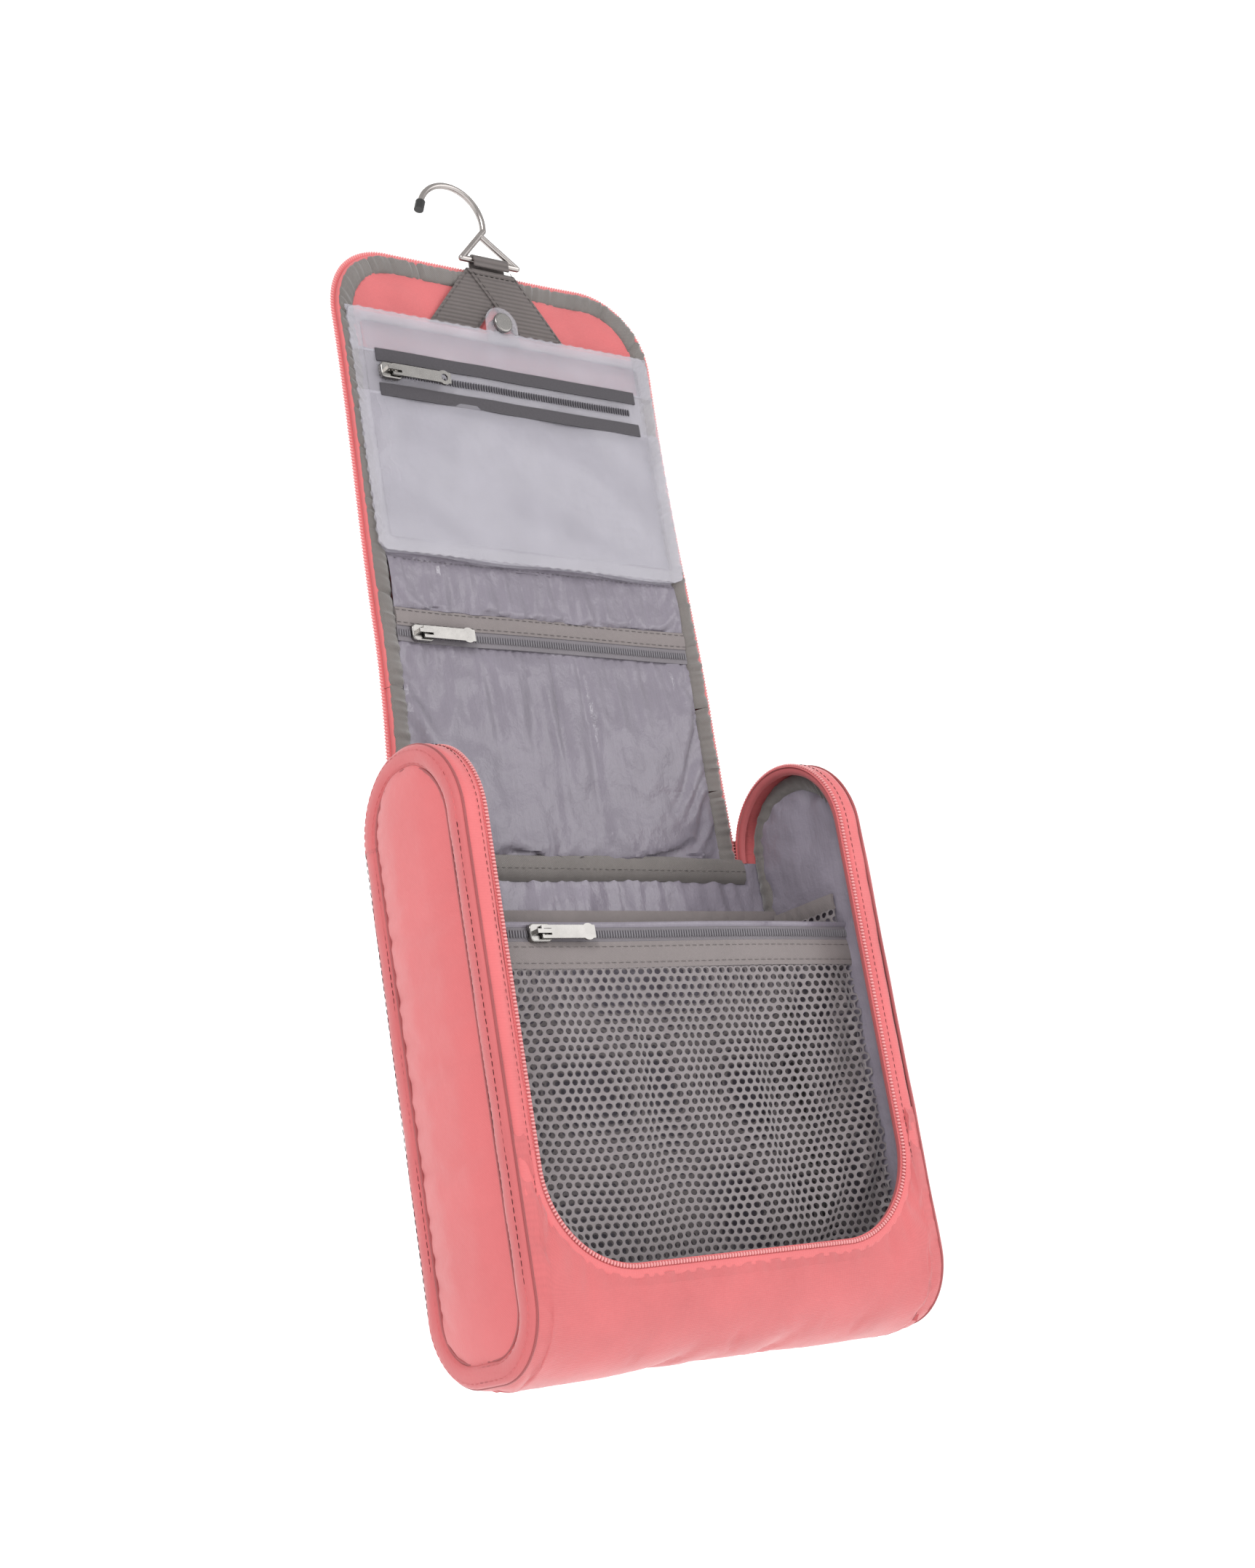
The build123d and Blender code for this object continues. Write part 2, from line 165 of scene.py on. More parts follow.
def tube_geo(path, across, up, profile, closed=False):
    """A closed profile (pairs along across and up) swept along a path."""
    P = path[:, None] + profile[None, :, 0, None] * across[:, None] + profile[None, :, 1, None] * up[:, None]
    nu, nv = P.shape[:2]
    faces = grid_faces(nu, nv, closed, True).tolist()
    if not closed:
        faces += [list(range(nv)), [(nu - 1) * nv + k for k in range(nv)]]
    wv = metric(np.concatenate([P, P[:, :1]], 1))[:, :-1]
    return P.reshape(-1, 3), faces, wv.reshape(-1, 3)


def beads_geo(path, across, up, size, pitch, ring, profile, lift=0.0):
    """One small rounded bead after another along a path; size is (across, along, up)."""
    p = even(np.concatenate([path, across, up], 1), pitch)
    path, across, up = p[:, :3], unit(p[:, 3:6]), unit(p[:, 6:9])
    along = unit(np.gradient(path, axis=0))
    w, l, h = size
    r = oval(1, 1, ring, 2.2)
    one = np.array([(x * w, q[0] * l * k, q[1] * h * k + lift) for x, k in profile for q in r])
    V = path[:, None] + one[None, :, 0, None] * across[:, None] + one[None, :, 1, None] * along[:, None] \
        + one[None, :, 2, None] * up[:, None]
    n, m = len(one), len(profile)
    local = grid_faces(m, ring, False, True).tolist() + [list(range(ring)), list(range((m - 1) * ring, n))]
    faces = [[i + k * n for i in f] for k in range(len(path)) for f in local]
    return V.reshape(-1, 3), faces, np.tile(one, (len(path), 1))


def oval(w, h, n=10, power=2.6):
    a = np.linspace(0, 2 * math.pi, n, endpoint=False)
    c, s = np.cos(a), np.sin(a)
    return np.stack([np.sign(c) * abs(c) ** (2 / power) * w / 2, np.sign(s) * abs(s) ** (2 / power) * h / 2], 1)


def even(path, step=None, closed=False, count=None):
    """The path again with its points an even distance apart."""
    p = np.concatenate([path, path[:1]]) if closed else np.asarray(path, float)
    s = np.concatenate([[0], np.cumsum(np.linalg.norm(np.diff(p[:, :3], axis=0), axis=1))])
    n = count or max(3, int(round(s[-1] / step)) + (0 if closed else 1))
    t = np.linspace(0, s[-1], n, endpoint=not closed)
    return np.stack([np.interp(t, s, p[:, k]) for k in range(p.shape[1])], 1)


def arc(cx, cy, r, a0, a1, n=24):
    a = np.radians(np.linspace(a0, a1, n))
    return np.stack([cx + r * np.cos(a), cy + r * np.sin(a)], 1)


def waves(U, V, seed, size, amount, turns=5):
    """Soft wrinkles: a few crossed, bent waves."""
    r = np.random.default_rng(seed)
    out = np.zeros_like(U)
    for k in range(turns):
        a, f = r.uniform(0, math.pi), 2 * math.pi / (size * r.uniform(0.6, 1.6))
        bend = 0.6 * np.sin(U * f * 0.37 + r.uniform(0, 6)) + 0.6 * np.sin(V * f * 0.31 + r.uniform(0, 6))
        out += np.sin((U * math.cos(a) + V * math.sin(a)) * f + bend + r.uniform(0, 6)) * r.uniform(0.5, 1)
    return amount * out / turns * 1.6


def gathers(s, seed, pitch, amount):
    """Uneven small puckers along s."""
    r = np.random.default_rng(seed)
    out = np.zeros_like(s)
    for k in range(4):
        f = 2 * math.pi / (pitch * r.uniform(0.7, 1.7))
        out += np.sin(s * f + 1.3 * np.sin(s * f * 0.23 + r.uniform(0, 6)) + r.uniform(0, 6)) * r.uniform(0.5, 1)
    return amount * out / 2.2


def smooth01(x):
    x = np.clip(x, 0, 1)
    return x * x * (3 - 2 * x)


# ------------------------------------------------------------------ cloth
SIM_SCALE = 0.01  # length of one millimetre while the cloth is simulated


def drape(P, toward, frames=20, pressure=0.0, grow=0.03, bend=0.4, gravity=0.6, cap=6.0, seed=1,
          noise=0.25, size=26):
    """Cloth simulation of the grid P, held at its rim and pressed away from toward."""
    nu, nv = P.shape[:2]
    pinned = np.ones((nu, nv), bool)
    pinned[1:-1, 1:-1] = False
    N = normals(P, toward)
    M = metric(P)
    ripple = N * (waves(M[..., 0], M[..., 1], seed, size, noise) * ~pinned)[..., None]
    faces = grid_faces(nu, nv)
    a, b, c = (P.reshape(-1, 3)[faces[0, k]] for k in range(3))
    if np.cross(b - a, c - b) @ N[0, 0] < 0:
        faces = faces[:, ::-1]
    me = bpy.data.meshes.new("drape")
    me.from_pydata([tuple(v) for v in ((P + ripple).reshape(-1, 3) * SIM_SCALE)], [], faces.tolist())
    ob = bpy.data.objects.new("drape", me)
    bpy.context.scene.collection.objects.link(ob)
    group = ob.vertex_groups.new(name="pin")
    group.add([int(i) for i in np.flatnonzero(pinned.ravel())], 1.0, "REPLACE")
    mod = ob.modifiers.new("cloth", "CLOTH")
    s = mod.settings
    s.quality = 5
    s.mass = 0.3
    s.tension_stiffness = s.compression_stiffness = 20
    s.shear_stiffness = 8
    s.bending_stiffness = bend
    s.air_damping = 2
    s.tension_damping = s.compression_damping = 8
    s.bending_damping = 1
    s.shrink_min = -grow
    s.vertex_group_mass = "pin"
    s.effector_weights.gravity = gravity
    s.use_pressure = True
    s.uniform_pressure_force = pressure
    mod.collision_settings.use_collision = False
    mod.point_cache.frame_start, mod.point_cache.frame_end = 1, frames
    for f in range(1, frames + 1):
        bpy.context.scene.frame_set(f)
    ev = ob.evaluated_get(bpy.context.evaluated_depsgraph_get())
    got = np.zeros(nu * nv * 3, np.float32)
    ev.data.vertices.foreach_get("co", got)
    got = got.reshape(nu, nv, 3).astype(float) / SIM_SCALE
    bpy.context.scene.frame_set(1)
    bpy.data.objects.remove(ob)
    bpy.data.meshes.remove(me)
    move = got - P
    length = np.linalg.norm(move, axis=2, keepdims=True)
    return P + move * np.minimum(1, cap / np.maximum(length, 1e-9))


def hold(P, start, toward, lo, hi):
    """The draped grid P with its travel along the first grid's normals kept between lo and hi."""
    N = normals(start, toward)
    d = ((P - start) * N).sum(2, keepdims=True)
    return P + N * (np.clip(d, lo, hi) - d)


# ------------------------------------------------------------------ materials
class Mat:
    """A small helper round one node material."""

    def __init__(self, name):
        self.m = bpy.data.materials.new(name)
        self.m.use_nodes = True
        self.nt = self.m.node_tree
        self.b = self.nt.nodes["Principled BSDF"]
        self.out = self.nt.nodes["Material Output"]

    def node(self, kind, **values):
        n = self.nt.nodes.new(kind)
        for k, v in values.items():
            if k.startswith("i_"):
                key = k[2:]
                n.inputs[int(key) if key.isdigit() else key.replace("_", " ")].default_value = v
            else:
                setattr(n, k, v)
        return n

    def link(self, a, b):
        self.nt.links.new(a, b)

    def math(self, op, a, b=None, c=None, clamp=False):
        n = self.node("ShaderNodeMath", operation=op, use_clamp=clamp)
        for k, v in enumerate((a, b, c)):
            if v is None:
                continue
            if isinstance(v, (int, float)):
                n.inputs[k].default_value = v
            else:
                self.link(v, n.inputs[k])
        return n.outputs[0]

    def cloth_uv(self):
        a = self.node("ShaderNodeAttribute", attribute_name="wv")
        s = self.node("ShaderNodeSeparateXYZ")
        self.link(a.outputs["Vector"], s.inputs[0])
        return s.outputs[0], s.outputs[1], a.outputs["Vector"]

    def noise(self, vector, scale, detail=3.0, rough=0.5):
        n = self.node("ShaderNodeTexNoise", i_Scale=scale, i_Detail=detail, i_Roughness=rough)
        if vector is not None:
            self.link(vector, n.inputs["Vector"])
        return n.outputs["Fac"]

    def tint(self, fac, dark, light):
        r = self.node("ShaderNodeValToRGB")
        r.color_ramp.elements[0].color = (*dark, 1)
        r.color_ramp.elements[1].color = (*light, 1)
        r.color_ramp.elements[0].position, r.color_ramp.elements[1].position = 0.25, 0.75
        self.link(fac, r.inputs[0])
        return r.outputs[0]

    def bump(self, height, strength, distance, normal=None):
        n = self.node("ShaderNodeBump", i_Strength=strength, i_Distance=distance)
        self.link(height, n.inputs["Height"])
        if normal is not None:
            self.link(normal, n.inputs["Normal"])
        return n.outputs[0]

    def set(self, **values):
        for k, v in values.items():
            self.b.inputs[k.replace("_", " ")].default_value = v

    def object_coords(self):
        return self.node("ShaderNodeTexCoord").outputs["Object"]


def scaled(c, k):
    return tuple(min(1, x * k) for x in c)


def weave(m, pitch_u, pitch_v, kind="plain"):
    """Height of a weave with these pitches in millimetres, about 0 to 1."""
    u, v, vec = m.cloth_uv()
    a = m.math("MULTIPLY", u, 2 * math.pi / pitch_u)
    b = m.math("MULTIPLY", v, 2 * math.pi / pitch_v)
    if kind == "rib":
        return m.math("MULTIPLY_ADD", m.math("SINE", a), 0.5, 0.5)
    if kind == "twill":
        return m.math("MULTIPLY_ADD", m.math("SINE", m.math("ADD", a, b)), 0.5, 0.5)
    if kind == "diamond":
        p = m.math("SINE", m.math("ADD", a, b))
        q = m.math("SINE", m.math("SUBTRACT", a, b))
        return m.math("MULTIPLY_ADD", m.math("MULTIPLY", p, q), 0.5, 0.5)
    return m.math("MULTIPLY_ADD", m.math("MULTIPLY", m.math("SINE", a), m.math("SINE", b)), 0.5, 0.5)


def fabric(name, colour, pitch=(0.7, 0.7), kind="plain", depth=0.06, rough=0.62, sheen=0.25,
           contrast=0.12, blotch=0.06, spec=0.3):
    m = Mat(name)
    u, v, vec = m.cloth_uv()
    w = weave(m, *pitch, kind)
    big = m.noise(m.object_coords(), 38, 4, 0.55)
    fine = m.noise(vec, 0.9, 2, 0.6)
    mix = m.math("ADD", m.math("MULTIPLY", w, contrast), m.math("MULTIPLY", big, 1 - contrast))
    mix = m.math("ADD", m.math("MULTIPLY", mix, 0.8), m.math("MULTIPLY", fine, 0.2))
    col = m.tint(mix, scaled(colour, 1 - blotch - contrast * 0.5), scaled(colour, 1 + blotch + contrast * 0.3))
    m.link(col, m.b.inputs["Base Color"])
    slub = m.noise(vec, 0.22, 3, 0.5)
    n = m.bump(slub, 0.25, 0.0006)
    n = m.bump(w, 0.6, depth / 1000, n)
    m.link(n, m.b.inputs["Normal"])
    m.set(Roughness=rough, Sheen_Weight=sheen, Sheen_Roughness=0.45, Specular_IOR_Level=spec)
    return m.m


def satin(name, colour, rough=0.3):
    m = Mat(name)
    u, v, vec = m.cloth_uv()
    w = weave(m, 0.5, 1.1, "twill")
    streak = m.node("ShaderNodeMapping")
    streak.inputs["Scale"].default_value = (0.05, 1.6, 1)
    m.link(vec, streak.inputs["Vector"])
    s = m.noise(streak.outputs[0], 1.0, 3, 0.6)
    big = m.noise(m.object_coords(), 45, 4, 0.6)
    mix = m.math("ADD", m.math("MULTIPLY", s, 0.45), m.math("MULTIPLY", big, 0.55))
    col = m.tint(mix, scaled(colour, 0.88), scaled(colour, 1.14))
    m.link(col, m.b.inputs["Base Color"])
    crease = m.noise(vec, 0.075, 5, 0.62)
    fold = m.noise(vec, 0.028, 2, 0.45)
    n = m.bump(fold, 0.8, 0.010)
    n = m.bump(crease, 0.5, 0.0022, n)
    n = m.bump(w, 0.25, 0.00004, n)
    m.link(n, m.b.inputs["Normal"])
    m.set(Roughness=rough, Sheen_Weight=0.2, Sheen_Roughness=0.3, Specular_IOR_Level=0.5,
          Anisotropic=0.4)
    return m.m


def metal(name, colour=(0.30, 0.288, 0.277), rough=0.24):
    m = Mat(name)
    g = m.noise(m.object_coords(), 900, 3, 0.6)
    big = m.noise(m.object_coords(), 160, 3, 0.5)
    m.link(m.tint(big, scaled(colour, 0.86), scaled(colour, 1.06)), m.b.inputs["Base Color"])
    m.link(m.math("MULTIPLY_ADD", g, 0.14, rough - 0.05), m.b.inputs["Roughness"])
    m.link(m.bump(g, 0.2, 0.00002), m.b.inputs["Normal"])
    m.set(Metallic=1.0)
    return m.m


def plastic(name, colour, rough=0.4):
    m = Mat(name)
    g = m.noise(m.object_coords(), 1400, 3, 0.6)
    m.link(m.tint(g, scaled(colour, 0.85), scaled(colour, 1.2)), m.b.inputs["Base Color"])
    m.link(m.math("MULTIPLY_ADD", g, 0.2, rough - 0.1), m.b.inputs["Roughness"])
    m.link(m.bump(g, 0.25, 0.00003), m.b.inputs["Normal"])
    m.set(Specular_IOR_Level=0.4)
    return m.m


def film(name, colour, alpha, rough=0.22):
    m = Mat(name)
    u, v, vec = m.cloth_uv()
    g = m.noise(m.object_coords(), 60, 4, 0.55)
    m.link(m.tint(g, scaled(colour, 0.95), scaled(colour, 1.05)), m.b.inputs["Base Color"])
    fine = m.noise(vec, 2.2, 2, 0.5)
    n = m.bump(m.noise(vec, 0.03, 2, 0.45), 0.4, 0.0008)
    m.link(m.bump(fine, 0.03, 0.0001, n), m.b.inputs["Normal"])
    m.link(m.math("MULTIPLY_ADD", g, 0.05, alpha - 0.025), m.b.inputs["Alpha"])
    m.set(Roughness=rough, Specular_IOR_Level=0.5, Coat_Weight=0.25, Coat_Roughness=0.12)
    m.m.surface_render_method = "BLENDED"
    return m.m


PINK = (0.575, 0.132, 0.137)
GREY = (0.20, 0.18, 0.215)
BIND = (0.21, 0.19, 0.18)
pink = fabric("pink_cloth", PINK, (0.9, 0.9), "plain", 0.05, 0.55, 0.3, 0.05, 0.03)
pink_band = fabric("pink_band", scaled(PINK, 0.9), (0.9, 0.9), "plain", 0.05, 0.55, 0.3, 0.05, 0.04)
pink_seam = fabric("pink_seam", scaled(PINK, 0.55), (0.9, 0.7), "twill", 0.05, 0.6, 0.2, 0.2, 0.08)
pink_textured = fabric("pink_textured", scaled(PINK, 0.97), (1.5, 1.1), "diamond", 0.12, 0.5, 0.3, 0.2, 0.05)
# a darker copy of the pink: painted shade for the recessed band beside the case's zip, which lies in shadow
pink_painted_shade = fabric("pink_shade_painted", scaled(PINK, 0.75), (0.8, 0.8), "plain", 0.05, 0.6, 0.2, 0.08, 0.05)
pink_tape = fabric("pink_tape", scaled(PINK, 1.12), (1.0, 0.9), "rib", 0.07, 0.55, 0.3, 0.1, 0.03)
pink_teeth_light = fabric("pink_teeth_light", (0.72, 0.30, 0.30), (0.6, 0.6), "plain", 0.03, 0.4, 0.1, 0.05,
                          0.03, 0.5)
lining = satin("grey_satin", GREY, 0.28)
# a lighter copy of the same grey satin for inside the case: painted light, standing in for the light and highlights
# on its back wall and sides
lining_painted_lit = satin("grey_satin_painted_lit", scaled(GREY, 1.25), 0.24)
binding = fabric("grey_binding", scaled(BIND, 0.8), (0.9, 0.8), "twill", 0.12, 0.75, 0.35, 0.3, 0.08)
webbing = fabric("webbing", (0.115, 0.098, 0.094), (2.4, 0.8), "rib", 0.35, 0.7, 0.35, 0.4, 0.08)
net = fabric("mesh_yarn", (0.215, 0.19, 0.195), (0.5, 0.5), "plain", 0.05, 0.5, 0.4, 0.15, 0.08)
grey_tape = fabric("grey_tape", (0.17, 0.155, 0.17), (0.8, 0.7), "twill", 0.06, 0.6, 0.25, 0.2, 0.06)
grey_teeth = fabric("grey_teeth", (0.16, 0.15, 0.165), (0.6, 0.6), "plain", 0.03, 0.4, 0.1, 0.1, 0.05, 0.5)
thread_pink = fabric("thread_pink", scaled(PINK, 1.1), (0.4, 0.4), "twill", 0.03, 0.5, 0.2, 0.1, 0.03)
thread_grey = fabric("thread_grey", (0.12, 0.11, 0.11), (0.4, 0.4), "twill", 0.03, 0.5, 0.2, 0.1, 0.03)
band_cloth = fabric("grey_band", (0.205, 0.178, 0.176), (0.8, 0.7), "twill", 0.08, 0.6, 0.3, 0.15, 0.05)
teeth_light = plastic("pouch_teeth", (0.07, 0.065, 0.075), 0.35)
film_back = film("frosted_back", (0.54, 0.52, 0.58), 0.26, 0.3)
nickel = metal("nickel")
steel = metal("hook_steel", (0.42, 0.39, 0.375), 0.2)
black = plastic("black_plastic", (0.02, 0.02, 0.02), 0.35)
clear = film("frosted_film", (0.56, 0.54, 0.60), 0.27)
clear_weld = film("frosted_weld", (0.60, 0.58, 0.63), 0.24, 0.3)
dark_band = plastic("dark_band", (0.05, 0.045, 0.052), 0.45)


# ------------------------------------------------------------------ outlines
CENTRE = (0, 0, 110)      # inside the case
BEHIND = (0, 2000, 350)
AHEAD = (0, -2000, 350)


def side_outline(inset, count):
    """Closed outline of the case from the side, (y, z), from the hinge down the back."""
    k = R - RB
    parts = [[(R - inset, ZH)], arc(k, RB, RB - inset, 0, -90), arc(-k, RB, RB - inset, -90, -180),
             arc(0, ZH, R - inset, 180, 0, 48)]
    return even(np.concatenate([np.asarray(p, float) for p in parts]), closed=True, count=count)


def fill_outline(inset, nu, nv):
    """A grid that fills the case's side outline: rows in z, columns across."""
    pts = side_outline(inset, 900)
    t = 0.55 * (1 - np.cos(np.linspace(0, math.pi, nu))) / 2 + 0.45 * np.linspace(0, 1, nu)
    lo, hi = pts[:, 1].min() + 0.05, pts[:, 1].max() - 0.05
    rows = lo + (hi - lo) * t
    half = pts[pts[:, 0] >= 0]
    half = half[np.argsort(half[:, 1])]
    Y = np.interp(rows, half[:, 1], half[:, 0])[:, None] * np.linspace(-1, 1, nv)[None]
    return Y, np.repeat(rows[:, None], nv, 1)


def u_curve(grow, step=1.6):
    """The U of the opening, (x, z), from its left top point down and round to the right."""
    half, low, r = X_OPEN + grow, ZU - grow, RU + grow
    top = ZU + RU
    pts = np.concatenate([[(-half, top)], arc(-half + r, low + r, r, 180, 270, 40),
                          arc(half - r, low + r, r, 270, 360, 40), [(half, top)]])
    return even(pts, step)


def over_path(x, inset, z_front, step=2.0):
    """From z_front up the front, over the arch, to the hinge: points and outward normals."""
    pts = even(np.concatenate([[(-(R - inset), z_front)], arc(0, ZH, R - inset, 180, 0, 60)]), step)
    d = unit(np.gradient(pts, axis=0))
    flat = np.zeros(len(pts))
    return np.column_stack([flat + x, pts]), np.column_stack([flat, -d[:, 1], d[:, 0]])


def lid_half(z, inset):
    """Half width of the lid at the height z."""
    r = RC - inset
    over = np.clip(z - (LID_TOP - inset - r), 0, r)
    return X_LID - inset - r + np.sqrt(np.maximum(r * r - over * over, 0))


def lid_edge(inset, z_low, step=1.5):
    """The lid's edge, (x, z), from the left foot up, over the top and down the right."""
    h, r, top = X_LID - inset, RC - inset, LID_TOP - inset
    return even(np.concatenate([[(-h, z_low)], arc(-h + r, top - r, r, 180, 90, 40),
                                arc(h - r, top - r, r, 90, 0, 40), [(h, z_low)]]), step)


def lid_flex(V):
    """The standing lid isn't flat: its edges curl and it leans and waves a little."""
    V = V.copy()
    s = smooth01((V[:, 2] - ZH - 4) / 90)
    e = np.clip(np.abs(V[:, 0]) / X_LID, 0, 1)
    V[:, 0] -= np.sign(V[:, 0]) * s * 3.0 * e ** 3
    V[:, 1] += s * (-2.6 * e ** 4 + 1.1 * np.sin(V[:, 2] / 31 + V[:, 0] / 40) * e ** 2)
    return V


def flexed(geo):
    return lid_flex(geo[0]), geo[1], geo[2]


def done(ob, body, nodes=()):
    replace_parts(ob, *nodes) if nodes else None
    if isinstance(body, str):
        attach(ob, body)
    else:
        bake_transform(ob)
    return ob


TEETH = ((-0.5, 0.5), (-0.25, 1.0), (0.3, 1.0), (0.5, 0.6))
STITCH = ((-0.5, 0.4), (-0.3, 1.0), (0.3, 1.0), (0.5, 0.4))


def coil(path, across, up, pitch=1.35, size=(2.2, 0.95, 1.1)):
    return beads_geo(path, across, up, size, pitch, 6, TEETH)


def thread(path, up, pitch=3.4, length=2.3, width=0.5, lift=0.1):
    along = unit(np.gradient(path, axis=0))
    return beads_geo(path, along, up, (length, width, width * 0.8), pitch, 5, STITCH, lift)


def front_row(x0, x1, y, z, n=60):
    """A straight line across at height z, and the normals toward the front."""
    x = np.linspace(x0, x1, n)
    return np.column_stack([x, np.full(n, y), np.full(n, z)]), np.tile([0, -1.0, 0], (n, 1))


# ------------------------------------------------------------------ case, outside
for side, tag in ((-1, "left"), (1, "right")):
    Y, Z = fill_outline(BAND - 0.6, 84, 25)
    P = np.stack([np.full_like(Y, side * (W / 2 - 2.0)), Y, Z], 2)
    P = hold(drape(P, CENTRE, 22, pressure=2.4, grow=0.012, bend=2.0, gravity=0.3, cap=3.4, seed=11 + side,
                   noise=0.35, size=48), P, CENTRE, -0.1, 3.4)
    P[..., 0] += side * 0.35 * (1 + np.sin(Z / 33 + Y / 19)) * np.clip(1 - (Y / (R - BAND)) ** 2, 0, 1)
    ob = piece("gusset_cloth_" + tag, (sheet_geo(P, 1.5, CENTRE), pink))
    done(ob, "case", ["gusset_" + tag])

    prof = ((8.3, 2.7), (8.1, 1.5), (7.4, 0.6), (6.2, 0.15), (4.6, 0.0), (3.0, 0.1), (1.8, 0.45), (0.8, 1.0),
            (0.2, 1.8), (0.0, 2.7), (0.35, 3.2))
    cols = []
    for inset, depth in prof:
        q = side_outline(inset, 320)
        cols.append(np.stack([np.full(320, side * (W / 2 - depth)), q[:, 0], q[:, 1]], 1))
    P = np.stack(cols, 1)
    M = metric(P)
    P[..., 0] += side * waves(M[..., 0], M[..., 1], 21, 30, 0.25)
    outer = sheet_geo(P, 0.9, (side * (W / 2 - 5), 0, 110), close_u=True)
    rows = []
    for inset in (1.9, 7.2):
        q = side_outline(inset, 320)
        rows.append((thread(np.column_stack([np.full(320, side * (W / 2 - 0.35 - 0.3 * (inset > 5))), q]),
                            np.tile([side, 0, 0], (320, 1)), 3.0, 2.1, 0.4), thread_pink))
    for inset, depth, size in ((8.7, 1.5, 1.3), (0.1, 2.9, 1.1)):
        q = side_outline(inset, 320)
        line = np.column_stack([np.full(320, side * (W / 2 - depth)), q])
        along = unit(np.roll(line, -1, 0) - np.roll(line, 1, 0))
        out = np.tile([side, 0, 0.0], (320, 1))
        rows.append((tube_geo(line, np.cross(along, out), out, oval(size, size, 8, 2), True), pink_seam))
    ob = piece("gusset_band_cloth_" + tag, (outer, pink_band), *rows)
    done(ob, "case", ["gusset_band_" + tag])


def wrap_grid(inset, reach, rows_front, step):
    """Front, bottom and back of the case in one cloth whose top edge in front follows the U."""
    u = u_curve(reach, 2.4)
    edge = [(-XS + s, ZU + RU + 12) for s in (0.0, 2.4, 4.8)]
    cols = edge + [tuple(p) for p in u] + [(-x, z) for x, z in edge[::-1]]
    k = R - RB
    path = even(np.concatenate([arc(-k, RB, RB - inset, 180, 270, 22), arc(k, RB, RB - inset, 270, 360, 22),
                                [(R - inset, ZH)]]), step)
    grid = []
    for x, top in cols:
        foot = min(RB, top - 4)
        z = top + (foot - top) * np.linspace(0, 1, rows_front, endpoint=False)
        y = np.full(rows_front, -(R - inset))
        start = np.column_stack([np.full(rows_front, x), y, z])
        grid.append(np.concatenate([start, np.column_stack([np.full(len(path), x), path])]))
    return np.stack(grid, 1)


P = wrap_grid(0.0, 4.4, 16, 3.0)
P = hold(drape(P, CENTRE, 22, pressure=2.2, grow=0.018, bend=1.2, gravity=0.3, cap=3.6, seed=5, noise=0.5,
               size=40), P, CENTRE, -0.4, 3.2)
cut = 16 + 28  # rows on the front, then rows round the bottom
# a few puckers below the U, and a small turned edge
near = np.exp(-np.arange(P.shape[0])[:, None] / 3.0) * (np.arange(P.shape[0]) > 0)[:, None]
s_along = np.concatenate([[0], np.cumsum(np.linalg.norm(np.diff(P[0], axis=0), axis=1))])
P[..., 1] -= 0.8 * near * np.abs(gathers(np.tile(s_along, (P.shape[0], 1)), 3, 17, 1.0))
ob = piece("front_and_bottom_cloth", (sheet_geo(P[:cut], 1.5, CENTRE), pink_textured))
done(ob, "case", ["front_panel", "bottom_panel"])
ob = piece("back_cloth", (sheet_geo(P[cut - 1:], 1.5, CENTRE), pink_textured))
done(ob, "case", ["back_panel"])

for side, tag in ((-1, "left"), (1, "right")):
    cols = []
    for x, rise in ((XS + 0.3, -1.3), (XS - 0.5, -0.2), (XS - 1.6, 0.35), (XS - 3.2, 0.55), (XS - 5, 0.5),
                    (X_STRIP + 0.6, 0.3), (X_STRIP - 0.5, 0.1), (X_STRIP - 1.2, -0.5)):
        p, n = over_path(side * x, 0.3, ZU + RU - 10)
        low = smooth01((ZU + RU + 6 - p[:, 2]) / 16) * (p[:, 1] < -20)
        p[:, 0] -= side * low * (XS - x) * 0.12
        s = np.arange(len(p)) * 2.0
        cols.append(p + n * (rise + 0.25 * np.sin(s / 23 + x) + gathers(s, 40 + side, 14, 0.1))[:, None])
    P = np.stack(cols, 1)
    line, n = over_path(side * (X_STRIP + 0.9), -0.25, ZU + RU - 8)
    ob = piece("zip_strip_cloth_" + tag, (sheet_geo(P, 1.0, CENTRE), pink_tape),
               (thread(line, n, 2.6, 1.7, 0.4), thread_pink))
    done(ob, "case", ["zip_strip_" + tag])

# ------------------------------------------------------------------ the case's half of the main zip
side_line, side_n = over_path(-87.6, 0.2, ZU + RU, 1.2)
u = u_curve(1.4, 1.2)
u3 = np.column_stack([u[:, 0], np.full(len(u), -R + 0.2), u[:, 1]])[1:-1]
path = np.concatenate([side_line[::-1], u3, side_line * [-1, 1, 1]])
up = np.concatenate([side_n[::-1], np.tile([0, -1.0, 0], (len(u3), 1)), side_n * [-1, 1, 1]])
along = unit(np.gradient(path, axis=0))
across = unit(np.cross(along, up))


def swept(points):
    """Profile points (inward across, outward up) swept along the zip's path."""
    return np.stack([path - across * a + up * h for a, h in points], 1)


